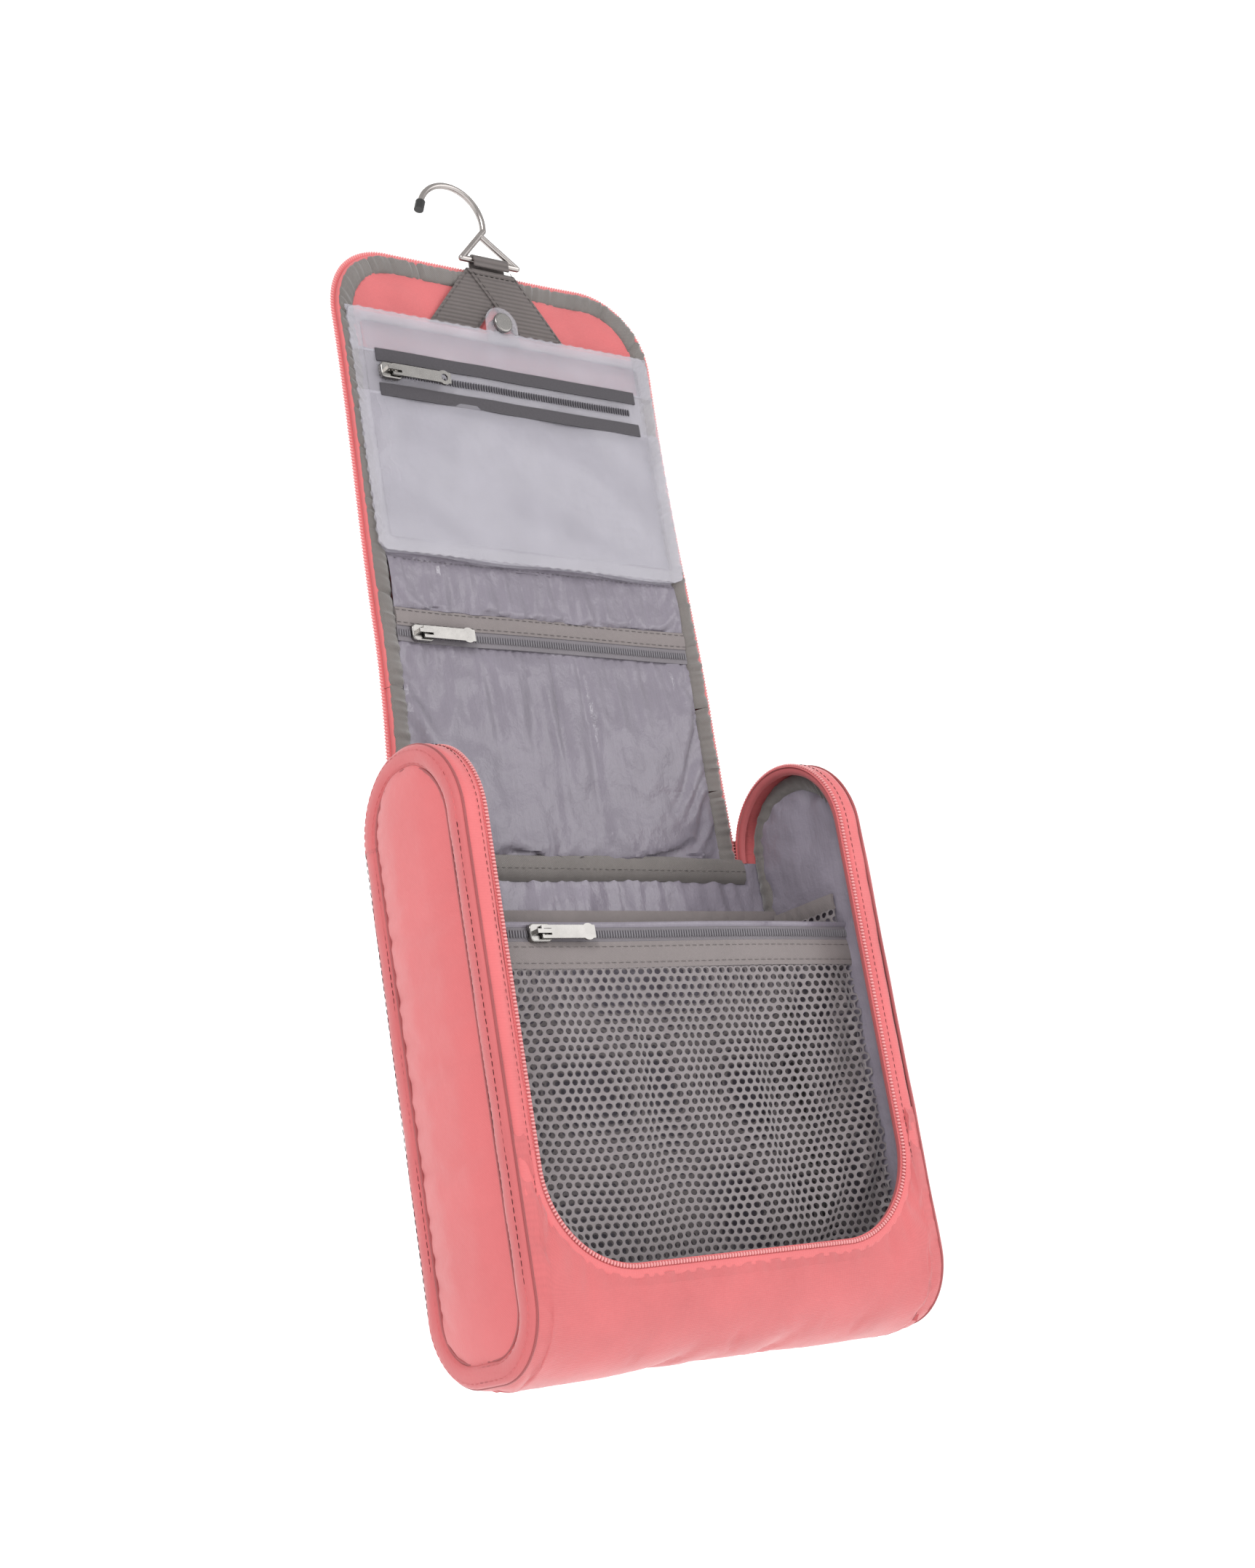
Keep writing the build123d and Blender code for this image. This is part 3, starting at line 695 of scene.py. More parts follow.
inward = 1 if (swept([(5, 0)])[len(path) // 2, 0] - path[len(path) // 2])[2] > 0 else -1
strip_u = np.stack([path - across * inward * a + up * h for a, h in
                    ((-4.6, -0.7), (-4.2, 0.15), (-3.2, 0.5), (-2.0, 0.45), (-1.1, 0.15), (-0.9, -0.6))], 1)
first = len(side_line) - 6
u_part = strip_u[first:-first]
# the facing is the recessed band between the gusset and the zip tape; its darker pink is painted shade
facing = np.stack([path - across * inward * a + up * h for a, h in
                   ((-0.6, -0.9), (0.1, -1.1), (0.3, -1.8), (0.2, -2.6), (-0.3, -3.2), (-1.2, -3.5))], 1)
ob = piece("case_zip_chain", (coil(path + up * 0.25, across, up, 1.35, (1.5, 0.95, 1.1)), pink_teeth_light),
           (sheet_geo(u_part, 0.5, CENTRE), pink_tape), (sheet_geo(facing, 0.5, CENTRE), pink_painted_shade),
           (tube_geo(path, across, up, np.array([(-1.2, -0.7), (-1.2, -0.3), (1.2, -0.3), (1.2, -0.7)])),
            pink_tape))
done(ob, "case", ["case_zip"])

# ------------------------------------------------------------------ case, inside
P = wrap_grid(INNER, 3.0, 8, 3.4)
P = hold(drape(P, (0, 5000, 110), 26, pressure=0.0, grow=0.035, bend=0.15, gravity=0.5, cap=2.6, seed=23,
               noise=0.5, size=46), P, CENTRE, -2.6, 0.4)
# the case's lining gets the lighter satin copy, painted light
ob = piece("lining_cloth", (sheet_geo(P, 0.3, CENTRE), lining_painted_lit))
done(ob, "case", ["lining_wrap"])

for side, tag in ((-1, "left"), (1, "right")):
    Y, Z = fill_outline(INNER - 0.4, 80, 25)
    P = np.stack([np.full_like(Y, side * (XS - LINE)), Y, Z], 2)
    beyond = (side * 500, 0, 110)
    P = hold(drape(P, beyond, 24, pressure=0.6, grow=0.03, bend=0.15, gravity=0.5, cap=3.0, seed=31 + side,
                   noise=0.5, size=34), P, beyond, -0.1, 3.0)
    # painted light: the lighter satin copy again
    ob = piece("gusset_lining_cloth_" + tag, (sheet_geo(P, 0.3, beyond), lining_painted_lit))
    done(ob, "case", ["gusset_lining_" + tag])
    prof = ((INNER - 0.2, XS - 0.9), (INNER + 0.1, XS - 2.6), (INNER + 1.4, XS - 3.7), (INNER + 4.0, XS - 3.9),
            (INNER + 6.3, XS - 3.1), (INNER + 7.3, XS - 1.2))
    cols = []
    s = np.arange(420) * 1.4
    pucker = gathers(s, 61, 5.5, 0.35)
    for k, (inset, x) in enumerate(prof):
        q = side_outline(inset, 420)
        cols.append(np.column_stack([side * (x - pucker * (0.4 if k in (0, 5) else 1.0)), q]))
    ob = piece("gusset_binding_cloth_" + tag,
               (sheet_geo(np.stack(cols, 1), 0.8, (side * (XS + 9), 0, 110), close_u=True), binding))
    done(ob, "case", ["gusset_binding_" + tag])

# binding along the hinge, inside
n = 120
x = np.linspace(-X_LID, X_LID, n)
pucker = gathers(x, 71, 6.0, 0.3)
prof = ((R - INNER + 0.2, ZH + 2.2), (R - INNER - 1.4, ZH + 1.4), (R - INNER - 2.3, ZH - 0.5),
        (R - INNER - 2.7, ZH - 4.6), (R - INNER - 2.0, ZH - 7.6), (R - INNER - 0.2, ZH - 9.0))
P = np.stack([np.column_stack([x, y - pucker * (0 < k < 5), z + 0.4 * np.sin(x / 19)])
              for k, (y, z) in enumerate(prof)], 1)
line, nn = front_row(-X_LID + 1, X_LID - 1, R - INNER - 2.75, ZH - 4.4)
ob = piece("hinge_binding_cloth", (sheet_geo(P, 0.8, BEHIND), binding),
           (thread(line, nn, 3.2, 2.0, 0.45), thread_grey))
done(ob, "case", ["hinge_binding"])


# ------------------------------------------------------------------ netting
def bilinear(P, a, b):
    nu, nv = P.shape[:2]
    fa, fb = np.clip(a, 0, 1) * (nu - 1), np.clip(b, 0, 1) * (nv - 1)
    i, j = np.minimum(fa.astype(int), nu - 2), np.minimum(fb.astype(int), nv - 2)
    s, t = (fa - i)[:, None], (fb - j)[:, None]
    return (P[i, j] * (1 - s) * (1 - t) + P[i + 1, j] * s * (1 - t) + P[i, j + 1] * (1 - s) * t
            + P[i + 1, j + 1] * s * t)


def net_geo(P, toward, px=4.1, pz=3.1, open_x=0.37, open_z=0.38, t=0.5):
    """Netting with oval holes in staggered rows, laid on the grid P."""
    M = metric(P)
    lw, lh = M[0, -1, 1], M[-1, 0, 0]
    nx, nz = int(round(lw / px)), int(round(lh / pz))
    px, pz = lw / nx, lh / nz
    hexa = np.array([(0, 2 / 3), (0.25, 0.5), (0.5, 1 / 3), (0.5, 0), (0.5, -1 / 3), (0.25, -0.5), (0, -2 / 3),
                     (-0.25, -0.5), (-0.5, -1 / 3), (-0.5, 0), (-0.5, 1 / 3), (-0.25, 0.5)])
    a = np.arctan2(hexa[:, 1], hexa[:, 0])
    hole = np.stack([np.cos(a) * open_x, np.sin(a) * open_z], 1)
    cells = np.array([(i + 0.5 * (j % 2), j + 0.5) for j in range(nz) for i in range(nx)])
    scale = np.array([px, pz])
    outer = ((cells[:, None] + hexa[None]) * scale).reshape(-1, 2)
    inner = ((cells[:, None] + hole[None]) * scale).reshape(-1, 2)
    key = np.round(outer / 0.05).astype(np.int64)
    _, first_i, back = np.unique(key, axis=0, return_index=True, return_inverse=True)
    back = back.ravel()
    uv = np.concatenate([outer[first_i], inner])
    n0 = len(first_i)
    m = len(uv)
    pts = bilinear(P, uv[:, 1] / lh, uv[:, 0] / lw)
    N = bilinear(normals(P, toward), uv[:, 1] / lh, uv[:, 0] / lw)
    knot = np.concatenate([np.full(n0, 0.5), np.full(len(inner), 0.28)])[:, None] * t
    V = np.concatenate([pts + N * knot, pts - N * knot])
    ring = np.arange(12)
    faces = []
    o = back.reshape(-1, 12)
    h = (n0 + np.arange(len(inner))).reshape(-1, 12)
    for k in ring:
        k1 = (k + 1) % 12
        faces.append(np.stack([o[:, k], o[:, k1], h[:, k1], h[:, k]], 1))
        faces.append(np.stack([o[:, k1] + m, o[:, k] + m, h[:, k] + m, h[:, k1] + m], 1))
        faces.append(np.stack([h[:, k], h[:, k1], h[:, k1] + m, h[:, k] + m], 1))
    F = np.concatenate(faces)
    good = np.array([len(set(f)) == 4 for f in F.tolist()])
    wv = np.concatenate([uv, np.zeros((m, 1))], 1)
    return V, F[good].tolist(), np.concatenate([wv, wv])


def room_at(z, gap):
    """How far from the middle a net may reach at the height z, inside the rounded bottom edges."""
    r = RB - INNER
    low = np.clip((r - z) / r, 0, 1)
    return R - RB + np.sqrt(np.maximum(r ** 2 - (low * r) ** 2, 0)) - gap


# ------------------------------------------------------------------ divider
X_IN = XS - LINE - 2.2
yd = DIV_Y + 0.4
zs, xs = np.linspace(3.9, NET_TOP, 40), np.linspace(-X_IN, X_IN, 52)
X, Zg = np.meshgrid(xs, zs)
P = np.stack([X, np.maximum(np.full_like(X, yd), -room_at(Zg, 0.6)), Zg], 2)
P = hold(drape(P, BEHIND, 30, pressure=-0.5, grow=0.03, bend=0.1, gravity=0.6, cap=3.4, seed=77, noise=0.5,
               size=44), P, BEHIND, -3.4, 0.3)
net_ob = piece("divider_net", (net_geo(P, BEHIND), net))
done(net_ob, "case", ["divider_mesh"])


def divider_row(z0, z1, y, t, mat, seed, extra=(), puff=0.3):
    zz = np.linspace(z0, z1, 9)
    X, Zg = np.meshgrid(np.linspace(-X_IN, X_IN, 110), zz)
    f = np.sin(np.pi * (Zg - z0) / (z1 - z0))
    Yg = y - puff * f + waves(X, Zg, seed, 60, 0.3)
    return sheet_geo(np.stack([X, Yg, Zg + 0.3 * np.sin(X / 26)], 2), t, BEHIND), mat


def bent(line):
    line = line.copy()
    line[:, 1] += waves(line[:, 0], line[:, 2], 78, 60, 0.3)
    line[:, 2] += 0.3 * np.sin(line[:, 0] / 26)
    return line


rows = []
for z in (NET_TOP + 2.0, NET_TOP + 8.2):
    line, nn = front_row(-X_IN + 1, X_IN - 1, DIV_Y - 0.35, z, 90)
    rows.append((thread(bent(line), nn, 3.4, 2.3, 0.5), thread_grey))
ob = piece("divider_band_cloth",
           divider_row(NET_TOP, DIV_ZIP[0] + 0.2, DIV_Y - 0.1, 1.0, band_cloth, 78, puff=0.4), *rows)
band_ob = done(ob, "case", ["divider_band"])
line, nn = front_row(-X_IN + 1, X_IN - 1, DIV_Y - 0.35, DIV_TOP - 4.8, 90)
cross = np.tile([0, 0, 1.0], (90, 1))
ob = piece("divider_zip_cloth",
           divider_row(DIV_ZIP[0] - 0.1, DIV_ZIP[1] + 0.1, DIV_Y + 0.15, 0.6, grey_tape, 78, puff=0.1),
           (coil(bent(line), cross, nn, 1.25, (2.9, 0.85, 1.0)), grey_teeth))
zip_ob = done(ob, "case", ["divider_zip"])
ob = piece("divider_strip_cloth", divider_row(DIV_ZIP[1] - 0.3, DIV_TOP, DIV_Y, 1.0, lining, 78, puff=0.3))
strip_ob = done(ob, "case", ["divider_strip"])

# ------------------------------------------------------------------ pockets in the case
yb = R - INNER - 7.2
zs = np.linspace(4.2, BACK_TOP, 34)
X, Zg = np.meshgrid(np.linspace(-X_IN, X_IN, 44), zs)
P = np.stack([X, np.minimum(np.full_like(X, yb), room_at(Zg, 1.0)), Zg], 2)
P = drape(P, BEHIND, 20, pressure=0.4, grow=0.02, bend=0.2, gravity=0.5, cap=2.4, seed=83, noise=0.4, size=40)
back_net = piece("back_pocket_net", (net_geo(P, BEHIND), net))
done(back_net, "case", ["back_pocket"])
X, Zg = np.meshgrid(np.linspace(-X_IN, X_IN, 140), np.linspace(BACK_TOP - 0.4, BACK_TOP + 6, 7))
f = np.sin(np.pi * (Zg - BACK_TOP + 0.4) / 6.4)
back_hem = piece("back_band_cloth", (sheet_geo(np.stack([X, yb - 0.5 * f - gathers(X, 9, 6, 0.2) * f, Zg], 2), 1.2,
                                               BEHIND), band_cloth))
done(back_hem, "case", ["back_band"])
for side, tag in ((-1, "left"), (1, "right")):
    y0, y1 = DIV_Y + 1.8, R - INNER - 9.2
    x0, beyond = XS - LINE - 5.2, (side * 500, 0, 110)
    Yg, Zg = np.meshgrid(np.linspace(y0, y1, 16), np.linspace(4.6, SIDE_TOP, 44))
    Yg = np.clip(Yg, -room_at(Zg, 0.8), room_at(Zg, 0.8))
    P = np.stack([np.full_like(Yg, side * x0), Yg, Zg], 2)
    P = drape(P, beyond, 20, pressure=0.4, grow=0.02, bend=0.2, gravity=0.5, cap=2.2,
              seed=90 + side, noise=0.4, size=30)
    ob = piece("side_pocket_net_" + tag, (net_geo(P, beyond), net))
    done(ob, "case", ["side_pocket_" + tag])
    Yg, Zg = np.meshgrid(np.linspace(y0, y1, 40), np.linspace(SIDE_TOP - 0.4, SIDE_TOP + 6.2, 8))
    f = np.sin(np.pi * (Zg - SIDE_TOP + 0.4) / 6.6)
    P = np.stack([side * (x0 - 0.5 * f - gathers(Yg, 12, 5, 0.25) * f), Yg, Zg], 2)
    ob = piece("side_band_cloth_" + tag, (sheet_geo(P, 1.2, beyond), band_cloth))
    done(ob, "case", ["side_band_" + tag])

# ------------------------------------------------------------------ lid
# Three lengths of cloth, each spanning one fold line.
PARTS = (("hinge", ZH - 0.5, (Z0 + Z1) / 2, ("case", "fold_low", Z0, 13)),
         ("middle", (Z0 + Z1) / 2, (Z1 + Z2) / 2, ("fold_low", "fold_high", Z1, 15)),
         ("top", (Z1 + Z2) / 2, LID_TOP, ("fold_high", "lid", Z2, 15)))
SHELLS = {"hinge": ["hinge_strip", "fold_a_shell"], "middle": ["fold_b_shell"], "top": ["lid_shell"]}
ZIPS = {"hinge": ["fold_a_zip"], "middle": ["fold_b_zip"], "top": ["lid_zip"]}
LININGS = {"hinge": ["fold_a_lining"], "middle": ["fold_b_lining"], "top": ["lid_lining"]}

# outer cloth of the whole lid, then cut into the three lengths
inset = LID_ZIP - 0.6
tz = np.linspace(0, 1, 96)
zs = ZH - 0.5 + (LID_TOP - inset - 0.05 - ZH + 0.5) * (1 - (1 - tz) ** 1.35)
X = lid_half(zs, inset)[:, None] * np.linspace(-1, 1, 44)[None]
Zg = np.repeat(zs[:, None], 44, 1)
P = np.stack([X, np.full_like(X, R), Zg], 2)
P = drape(P, AHEAD, 22, pressure=1.6, grow=0.015, bend=1.2, gravity=0.2, cap=3.0, seed=101, noise=0.5,
          size=50)
P[..., 1] = np.maximum(P[..., 1], R - 0.15)


def cut_rows(heights, z0, z1):
    """The rows from z0 to z1; neighbours share their boundary row."""
    k0, k1 = (int(np.searchsorted(heights, z)) for z in (z0, z1))
    return slice(k0 if z0 > heights[0] else 0, k1 + 1)


for tag, z0, z1, where in PARTS:
    ob = piece("lid_cloth_" + tag, (flexed(sheet_geo(P, 2.2, AHEAD, rows=cut_rows(zs, z0, z1))), pink_textured))
    done(ob, where, SHELLS[tag])

    # the zip's other half, and the pink piping beside it, round the lid's edge
    layers = []
    for side in ((-1, 1) if tag != "top" else (0,)):
        for inset, d, kind in ((0.75, 1.2, "coil"), (2.0, 1.2, "tape"), (3.5, 2.5, "piping")):
            e = lid_edge(inset, z0, 1.3)
            if side:
                e = e[(e[:, 0] * side > 0) & (e[:, 1] <= z1)]
            p = np.column_stack([e[:, 0], np.full(len(e), R - d), e[:, 1]])
            al = unit(np.gradient(p, axis=0))
            upn = np.tile([0, -1.0, 0], (len(p), 1))
            acr = unit(np.cross(al, upn))
            if kind == "coil":
                g = coil(p, acr, upn, 1.35, (1.7, 0.95, 1.3)), pink_teeth_light
            elif kind == "tape":
                g = tube_geo(p, acr, upn, oval(3.2, 0.9, 10, 4)), pink_tape
            else:
                g = tube_geo(p, acr, upn, oval(2.3, 2.6, 10, 2.2)), pink
            layers.append((flexed(g[0]), g[1]))
    done(piece("lid_zip_chain_" + tag, *layers), where, ZIPS[tag])

    # gathered binding on the inside of the edge
    prof = ((3.1, 2.2), (3.0, 3.4), (3.6, 4.4), (5.2, 4.9), (7.4, 4.9), (9.6, 4.5), (10.9, 3.7), (11.1, 2.4))
    layers = []
    for side in ((-1, 1) if tag != "top" else (0,)):
        base = lid_edge(4.8, z0, 0.9)
        cols = []
        for k, (ins, d) in enumerate(prof):
            e = even(lid_edge(ins, z0, 0.9), count=len(base))
            s = np.arange(len(base)) * 0.9
            pucker = gathers(s, 111, 4.6, 0.5) + gathers(s, 112, 15, 0.4)
            pucker *= (0.25, 0.7, 1, 1, 1, 1, 0.8, 0.3)[k]
            cols.append(np.column_stack([e[:, 0], R - d - pucker, e[:, 1]]))
        g = np.stack(cols, 1)
        if side:
            g = g[(g[:, 3, 0] * side > 0) & (g[:, 3, 2] <= z1 + 0.5)]
        layers.append((flexed(sheet_geo(g, 0.7, BEHIND)), binding))
    done(piece("lid_binding_cloth_" + tag, *layers), where, ["lid_binding"] if tag == "top" else ())

# satin on the inside: from the hinge to the pocket zip, gathered under it
inner = X_LID - 10.6
zl = np.linspace(ZH + 0.5, POCKET_ZIP[0] + 0.5, 60)
X, Zg = np.meshgrid(np.linspace(-inner, inner, 84), zl)
P = np.stack([X, np.full_like(X, R - INNER), Zg], 2)
P = drape(P, BEHIND, 34, pressure=0.5, grow=0.045, bend=0.08, gravity=0.6, cap=3.4, seed=121, noise=0.7,
          size=30)
P[..., 1] = np.minimum(P[..., 1], R - WALL - 0.5)
fall = smooth01((POCKET_ZIP[0] - zl) / 5)[:, None] * np.exp(-(POCKET_ZIP[0] - zl) / 24)[:, None]
P[..., 1] -= 0.9 * fall * (1 + gathers(X, 5, 9, 1.0) * 0.6)
for tag, z0, z1, where in PARTS:
    ob = piece("lid_lining_cloth_" + tag, (flexed(sheet_geo(P, 0.3, BEHIND, rows=cut_rows(zl, z0, z1))), lining))
    done(ob, where, LININGS[tag])


def lid_row(z0, z1, d, t, mat, puff, seed, half=None, n=150, m=9):
    X, Zg = np.meshgrid(np.linspace(-1, 1, n) * (half or inner), np.linspace(z0, z1, m))
    f = np.sin(np.pi * (Zg - z0) / (z1 - z0))
    Yg = R - d - puff * f + waves(X, Zg, seed, 55, 0.25)
    return flexed(sheet_geo(np.stack([X, Yg, Zg + 0.35 * np.sin(X / 24 + 1)], 2), t, BEHIND)), mat


def lid_thread(z, d, pitch=3.4, length=2.3, width=0.5, seed=131, mat=None, half=None):
    line, nn = front_row(-(half or inner) + 1, (half or inner) - 1, R - d, z, 120)
    line[:, 1] += waves(line[:, 0], line[:, 2], seed, 55, 0.25)
    line[:, 2] += 0.35 * np.sin(line[:, 0] / 24 + 1)
    return flexed(thread(line, nn, pitch, length, width)), mat or thread_grey


zc = sum(POCKET_ZIP) / 2
line, nn = front_row(-inner + 1, inner - 1, R - INNER - 1.25, zc, 120)
line[:, 1] += waves(line[:, 0], line[:, 2], 131, 55, 0.25)
line[:, 2] += 0.35 * np.sin(line[:, 0] / 24 + 1)
ob = piece("lid_pocket_zip_cloth",
           lid_row(POCKET_ZIP[0] - 0.3, POCKET_ZIP[1] + 0.6, INNER + 0.9, 0.6, grey_tape, 0.1, 131),
           (flexed(coil(line, np.tile([0, 0, 1.0], (120, 1)), nn, 1.25, (2.9, 0.85, 1.0))), grey_teeth))
done(ob, "lid", ["lid_pocket_zip"])
ob = piece("lid_pocket_band_cloth",
           lid_row(POCKET_BAND[0] - 0.6, POCKET_BAND[1] + 0.2, D_BIND - 0.1, 1.4, band_cloth, 0.5, 131),
           lid_thread(POCKET_BAND[0] + 0.5, D_BIND + 0.2), lid_thread(POCKET_BAND[1] - 1.0, D_BIND + 0.2))
done(ob, "lid", ["lid_pocket_band"])

# the gathered pocket above the band, up to the seam under the clear pouch
zp = np.linspace(POCKET_BAND[1] - 0.4, SEAM_Z + 0.6, 26)
X, Zg = np.meshgrid(np.linspace(-inner, inner, 110), zp)
f = np.sin(np.pi * (Zg - zp[0]) / (zp[-1] - zp[0]))
P = np.stack([X, R - INNER - 0.6 - 1.1 * f ** 0.7, Zg], 2)
P = drape(P, BEHIND, 26, pressure=0.8, grow=0.03, bend=0.08, gravity=0.5, cap=1.6, seed=141, noise=0.5, size=18)
top_w = smooth01((Zg - zp[0]) / (zp[-1] - zp[0]))
P[..., 1] -= (np.abs(gathers(X, 143, 5.5, 0.8)) * top_w ** 1.5
              + np.abs(gathers(X, 144, 7.0, 0.5)) * (1 - top_w) ** 2) * f ** 0.3
ob = piece("lid_pocket_cloth", (flexed(sheet_geo(P, 0.3, BEHIND)), lining),
           lid_thread(SEAM_Z - 0.4, INNER + 1.1, 2.6, 1.6, 0.4))
pocket_ob = done(ob, "lid", ["lid_pocket"])

# the upper inner panel, pink like the outside
zu = SEAM_Z - 1 + (LID_TOP - 10.4 - SEAM_Z + 1) * (1 - (1 - np.linspace(0, 1, 60)) ** 1.3)
X = lid_half(zu, 10.4)[:, None] * np.linspace(-1, 1, 60)[None]
P = np.stack([X, np.full_like(X, R - WALL - 1.0), np.repeat(zu[:, None], 60, 1)], 2)
P[..., 1] -= 0.8 * np.abs(waves(X, P[..., 2], 151, 26, 1.0)) * smooth01((lid_half(P[..., 2], 10.4) - np.abs(X)) / 10)
split = int(np.searchsorted(zu, POUCH_TOP - 18))
ob = piece("upper_panel_cloth", (flexed(sheet_geo(P[split:], 0.9, BEHIND)), pink_textured))
done(ob, "lid", ["lid_upper_panel"])
ob = piece("upper_lining_cloth", (flexed(sheet_geo(P[:split + 1] - [0, 0.2, 0], 0.5, BEHIND)), lining))
done(ob, "lid", ())

# ------------------------------------------------------------------ clear pouch
def film_grid(z0, z1, d, seed, bulge, amount, m, n=90):
    """Film between two heights: the sides have a wavy welded edge, the bottom a soft one."""
    zz = np.linspace(z0, z1, m)
    Zg = np.repeat(zz[:, None], n, 1)
    low = np.clip((POUCH_LOW + 5 - zz) / 5, 0, 1)
    half = POUCH_W / 2 - 5 + 5 * np.sqrt(1 - low ** 2) + 0.45 * np.sin(zz * 2 * np.pi / 5.2)
    X = half[:, None] * np.linspace(-1, 1, n)[None]
    f = np.clip(1 - (X / (POUCH_W / 2)) ** 6, 0, 1) * np.clip(np.sin(np.pi * (Zg - POUCH_LOW) / POUCH_H), 0, 1) ** 0.4
    Yg = R - d - bulge * f + waves(X, Zg, seed, 46, amount) * f
    crease = np.exp(-((Zg - POUCH_LOW) / 26) ** 2) * f
    Yg -= crease * 0.5 * np.abs(waves(X * 1.3, Zg * 0.5, seed + 5, 14, 1.0))
    near_edge = smooth01((Zg - POUCH_LOW) / 2.0)
    Zg = Zg + (1 - near_edge) * 0.7 * np.sin(X / 12.0) * (Zg < POUCH_LOW + 6)
    return np.stack([X, Yg, Zg], 2)


zt, zb = POUCH_TOP - 20, POUCH_TOP - 38
back = film_grid(POUCH_LOW, POUCH_TOP, D_POUCH + 0.45, 161, 0.2, 0.15, 90)
ob = piece("pouch_back_film", (sheet_geo(back, 0.35, BEHIND), film_back))
done(ob, "pouch", ["pouch_back"])
low_film = film_grid(POUCH_LOW, zb, D_FACE - 0.4, 163, 0.9, 0.9, 76)
top_film = film_grid(zt, POUCH_TOP, D_FACE - 0.4, 163, 0.9, 0.7, 14)
a = np.linspace(0, math.pi, 24)
tab = []
for k in np.linspace(0.12, 1, 8):
    tab.append(np.column_stack([8.2 * k * np.cos(a), np.full(24, R - D_FACE - 0.5),
                                SNAP_Z - 0.3 + 8.2 * k * np.sin(a) * 0.98]))
tab = np.stack(tab)
neck = np.stack([np.column_stack([np.linspace(8.2, -8.2, 24), np.full(24, R - D_FACE - 0.5 + 0.3 * (1 - k)),
                                  np.full(24, POUCH_TOP - 5 + (SNAP_Z - 0.3 - POUCH_TOP + 5) * k)]) for k in (0, 0.5, 1)])
ob = piece("pouch_front_film", (sheet_geo(low_film, 0.3, BEHIND), clear), (sheet_geo(top_film, 0.3, BEHIND), clear),
           (sheet_geo(tab, 0.5, BEHIND), clear_weld), (sheet_geo(neck, 0.5, BEHIND), clear_weld))
done(ob, "pouch", ["pouch_front"])


def pouch_edge(inset):
    h, r = POUCH_W / 2 - inset, 5 - inset / 2
    lo, hi = POUCH_LOW + inset, POUCH_TOP - inset
    pts = np.concatenate([arc(h - r, hi - r, r, 90, 0, 6), arc(h - r, lo + r, r, 0, -90, 8),
                          arc(-h + r, lo + r, r, -90, -180, 8), arc(-h + r, hi - r, r, 180, 90, 6)])
    return even(pts, closed=True, count=440)


cols = []
wob = np.arange(440) * 2 * np.pi / 440
for inset, rise in ((0.2, -0.5), (0.0, 0.15), (1.4, 0.45), (3.0, 0.2), (4.6, 0.45), (5.8, 0.1), (6.1, -0.5)):
    e, d = pouch_edge(inset), D_FACE + rise
    zig = 0.35 * np.sin(wob * 96) * (1 if inset < 2 else 0.4)
    out = unit(np.stack([e[:, 0], (e[:, 1] - (POUCH_LOW + POUCH_H / 2)) * 1.4], 1))
    cols.append(np.column_stack([e[:, 0] + out[:, 0] * zig, np.full(440, R - d) - 0.12 * np.sin(wob * 150),
                                 e[:, 1] + out[:, 1] * zig]))
ob = piece("pouch_weld", (sheet_geo(np.stack(cols, 1), 0.4, BEHIND, close_u=True), clear_weld))
done(ob, "pouch", ["pouch_frame"])

hz = POUCH_W / 2 - 6
zc = (zt + zb) / 2


def pouch_row(z0, z1, d, t, mat, m=5, half=hz):
    X, Zg = np.meshgrid(np.linspace(-half, half, 80), np.linspace(z0, z1, m))
    f = np.clip(1 - (X / (POUCH_W / 2)) ** 6, 0, 1)
    Yg = R - d - 0.8 * f + waves(X, Zg * 0 + zc, 163, 46, 0.5) * f
    return sheet_geo(np.stack([X, Yg, Zg], 2), t, BEHIND), mat


line, nn = front_row(-62, 62, R - D_FACE - 0.1, zc, 120)
f = np.clip(1 - (line[:, 0] / (POUCH_W / 2)) ** 6, 0, 1)
line[:, 1] += -0.8 * f + waves(line[:, 0], line[:, 2], 163, 46, 0.5) * f
ob = piece("pouch_zip_panel", pouch_row(zb - 1, zt + 1, D_FACE - 0.5, 0.4, clear_weld, 9),
           *(pouch_row(a, b, D_FACE + 0.1, 0.5, dark_band, half=67)
             for a, b in ((zt - 4.0, zt + 1.6), (zb - 1.6, zb + 4.0))),
           (coil(line, np.tile([0, 0, 1.0], (120, 1)), nn, 1.3, (3.0, 0.9, 1.1)), teeth_light))
done(ob, "pouch", ["pouch_zip"])

# ------------------------------------------------------------------ strap
def band_geo(a, b, half_a, half_b, ya, yb, t, n=26, m=22, crown=0.25):
    """A flat band from the line a (x0, x1, z) to the line b, facing the front."""
    s = np.linspace(0, 1, n)[:, None]
    v = np.linspace(-1, 1, m)[None]
    xa, za, xb, zb2 = a[0], a[1], b[0], b[1]
    X = (xa + half_a * v) * (1 - s) + (xb + half_b * v) * s
    Zg = za * (1 - s) + zb2 * s + 0 * v
    Yg = ya * (1 - s) + yb * s - crown * (1 - v ** 6) - 0.25 * np.sin(np.pi * s) + 0 * X
    return sheet_geo(np.stack([X, Yg, Zg], 2), t, BEHIND)


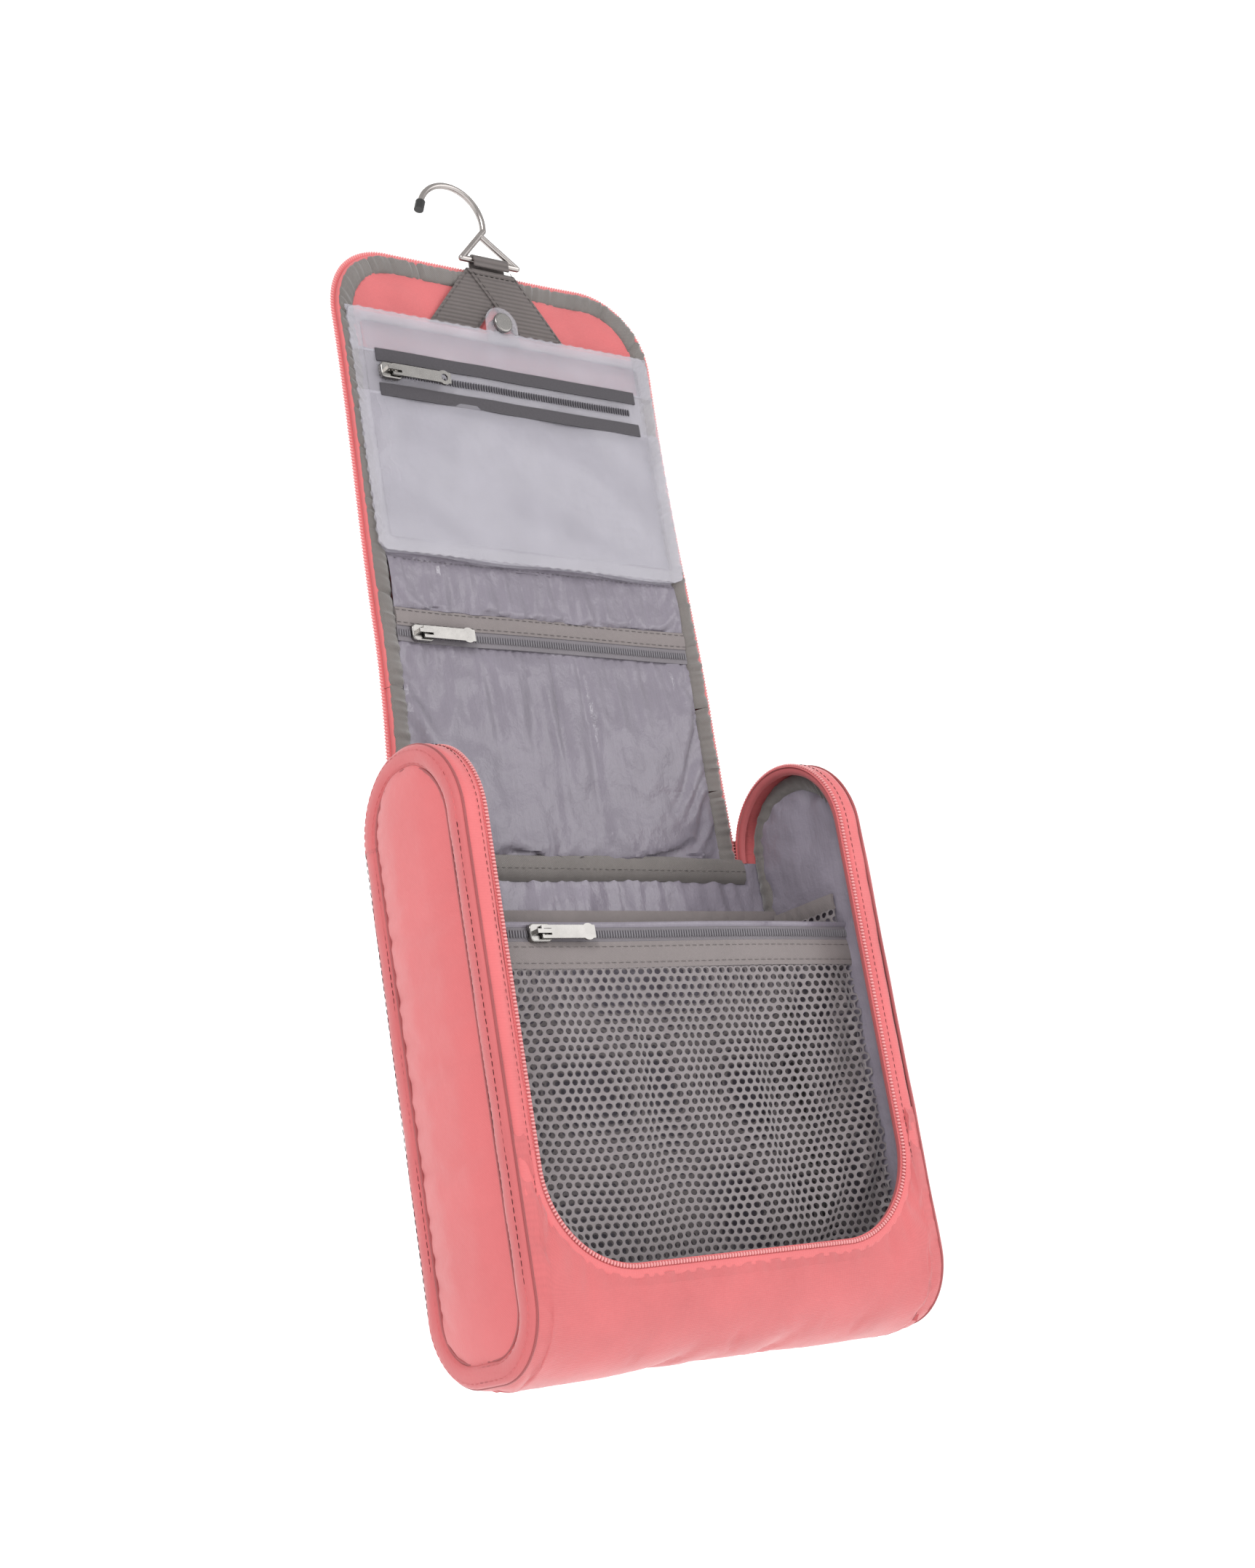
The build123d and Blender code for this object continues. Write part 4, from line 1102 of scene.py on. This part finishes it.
low = LEG_TOP - 28
y1, y2 = R - D_BIND - 1.1, R - D_BIND - 2.1
left = band_geo((-22, low), (0, LEG_TOP), 12.3, 12.4, y1 + 1.1, y1, 0.9)
right = band_geo((22, low), (0, LEG_TOP), 12.3, 12.4, y2 + 1.3, y2, 0.9)
rows = []
for side, y in ((-1, y1), (1, y2)):
    for off in (-10.8, 10.8):
        s = np.linspace(0, 1, 40)
        p = np.column_stack([(side * 22 + off) * (1 - s) + off * s, y + (1.1 if side < 0 else 1.3) * (1 - s) - 0.35,
                             low * (1 - s) + LEG_TOP * s])
        rows.append((thread(p, np.tile([0, -1.0, 0], (40, 1)), 3.2, 2.2, 0.45), thread_grey))
cross_p, nn = front_row(-11, 11, y2 - 0.3, LEG_TOP - 2.6, 20)
rows.append((thread(cross_p, nn, 2.6, 1.9, 0.5), thread_grey))
ob = piece("strap_webbing", (left, webbing), (right, webbing), *rows)
done(ob, "lid", ["strap_legs"])

yh = R - D_BIND - 1.6
hw = 8.9
a = np.radians(np.linspace(-90, 90, 15))
r_out = 1.45 + 0.9
pts = [(yh - r_out, LOOP_LOW)] + [(yh - r_out, LOOP_LOW + (BASE_Z - LOOP_LOW) * k) for k in (0.35, 0.7)]
pts += [(yh + r_out * math.sin(t), BASE_Z + r_out * math.cos(t)) for t in a]
pts += [(yh + r_out, LOOP_LOW + (BASE_Z - LOOP_LOW) * k) for k in (0.7, 0.35)] + [(yh + r_out, LOOP_LOW)]
pts = even(np.array(pts), 0.7)
v = np.linspace(-1, 1, 24)
P = np.stack([np.column_stack([v * hw, np.full(24, y), np.full(24, z)]) for y, z in pts])
ob = piece("strap_loop_webbing", (sheet_geo(P, 0.85, (0, yh, BASE_Z - 1)), webbing))
done(ob, "hook", ["strap_loop"])

# ------------------------------------------------------------------ metal and plastic kept from the CAD
for node in ("main_sliders", "main_pull_left", "main_pull_right", "divider_slider", "divider_pull", "lid_slider",
             "lid_pull", "pouch_slider", "pouch_pull", "snap_cap", "snap_stud", "hook_wire", "hook_cap"):
    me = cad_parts[node].data
    me.materials.clear()
    me.materials.append({"hook_cap": black, "hook_wire": steel}.get(node, nickel))

# ------------------------------------------------------------------ room, lights, camera
def plain(name, verts, faces, mat):
    me = bpy.data.meshes.new(name)
    me.from_pydata(verts, [], faces)
    me.materials.append(mat)
    ob = bpy.data.objects.new(name, me)
    bpy.context.scene.collection.objects.link(ob)
    return ob


paper = Mat("paper")
g = paper.noise(paper.object_coords(), 3, 3, 0.5)
paper.link(paper.tint(g, (0.86, 0.86, 0.86), (0.9, 0.9, 0.9)), paper.b.inputs["Base Color"])
paper.set(Roughness=0.9, Emission_Strength=0.35)
paper.b.inputs["Emission Color"].default_value = (1, 1, 1, 1)
fz = -0.9
sweep = [(1.2 + 0.8 * math.sin(t), fz + 0.8 - 0.8 * math.cos(t)) for t in np.linspace(0.1, math.pi / 2, 14)]
prof = [(-4.0, fz), (1.2, fz)] + sweep + [(2.0, 4.0)]
verts = [(x, y, z) for y, z in prof for x in (-6.0, 6.0)]
faces = [(2 * k, 2 * k + 1, 2 * k + 3, 2 * k + 2) for k in range(len(prof) - 1)]
floor = plain("floor", verts, faces, paper.m)

world = bpy.data.worlds.new("studio")
bpy.context.scene.world = world
world.use_nodes = True
world.node_tree.nodes["Background"].inputs["Color"].default_value = (1, 1, 1, 1)
world.node_tree.nodes["Background"].inputs["Strength"].default_value = 0.72


def area_light(name, at, target, size, power, colour=(1, 1, 1)):
    data = bpy.data.lights.new(name, "AREA")
    data.shape, data.size, data.energy, data.color = "DISK", size, power, colour
    ob = bpy.data.objects.new(name, data)
    bpy.context.scene.collection.objects.link(ob)
    at, target = np.array(at, float), np.array(target, float)
    z = unit(at - target)
    x = unit(np.cross([0, 0, 1.0], z))
    y = np.cross(z, x)
    ob.matrix_world = Matrix([[x[k], y[k], z[k], at[k]] for k in range(3)] + [[0, 0, 0, 1]])
    return ob


area_light("key", (-1.3, -1.5, 0.9), (0, 0, -0.25), 1.0, 26)
area_light("fill", (1.2, -1.6, 0.1), (0, 0, -0.25), 1.3, 9)
area_light("rim", (0.9, 1.2, 0.9), (0, 0, -0.2), 0.9, 10)

FOCAL_PX = 3187.2
cam_data = bpy.data.cameras.new("camera")
cam = bpy.data.objects.new("camera", cam_data)
bpy.context.scene.collection.objects.link(cam)
cam_data.sensor_fit = "HORIZONTAL"
cam_data.sensor_width = 36.0
cam_data.lens = 36.0 * FOCAL_PX / 1725
cam_data.clip_start, cam_data.clip_end = 0.05, 30
right_v = np.array([0.78742, -0.59555, -0.15905])
down_v = np.array([0.0366, 0.30274, -0.95237])
fwd_v = np.array([0.61533, 0.74409, 0.26018])
at = row((-561.96, -687.93, -17.35))
cam.matrix_world = Matrix([[right_v[k], -down_v[k], -fwd_v[k], at[k]] for k in range(3)] + [[0, 0, 0, 1]])
bpy.context.scene.camera = cam
bpy.context.scene.view_settings.view_transform = "Standard"
bpy.context.scene.view_settings.look = "None"

bpy.context.view_layer.update()
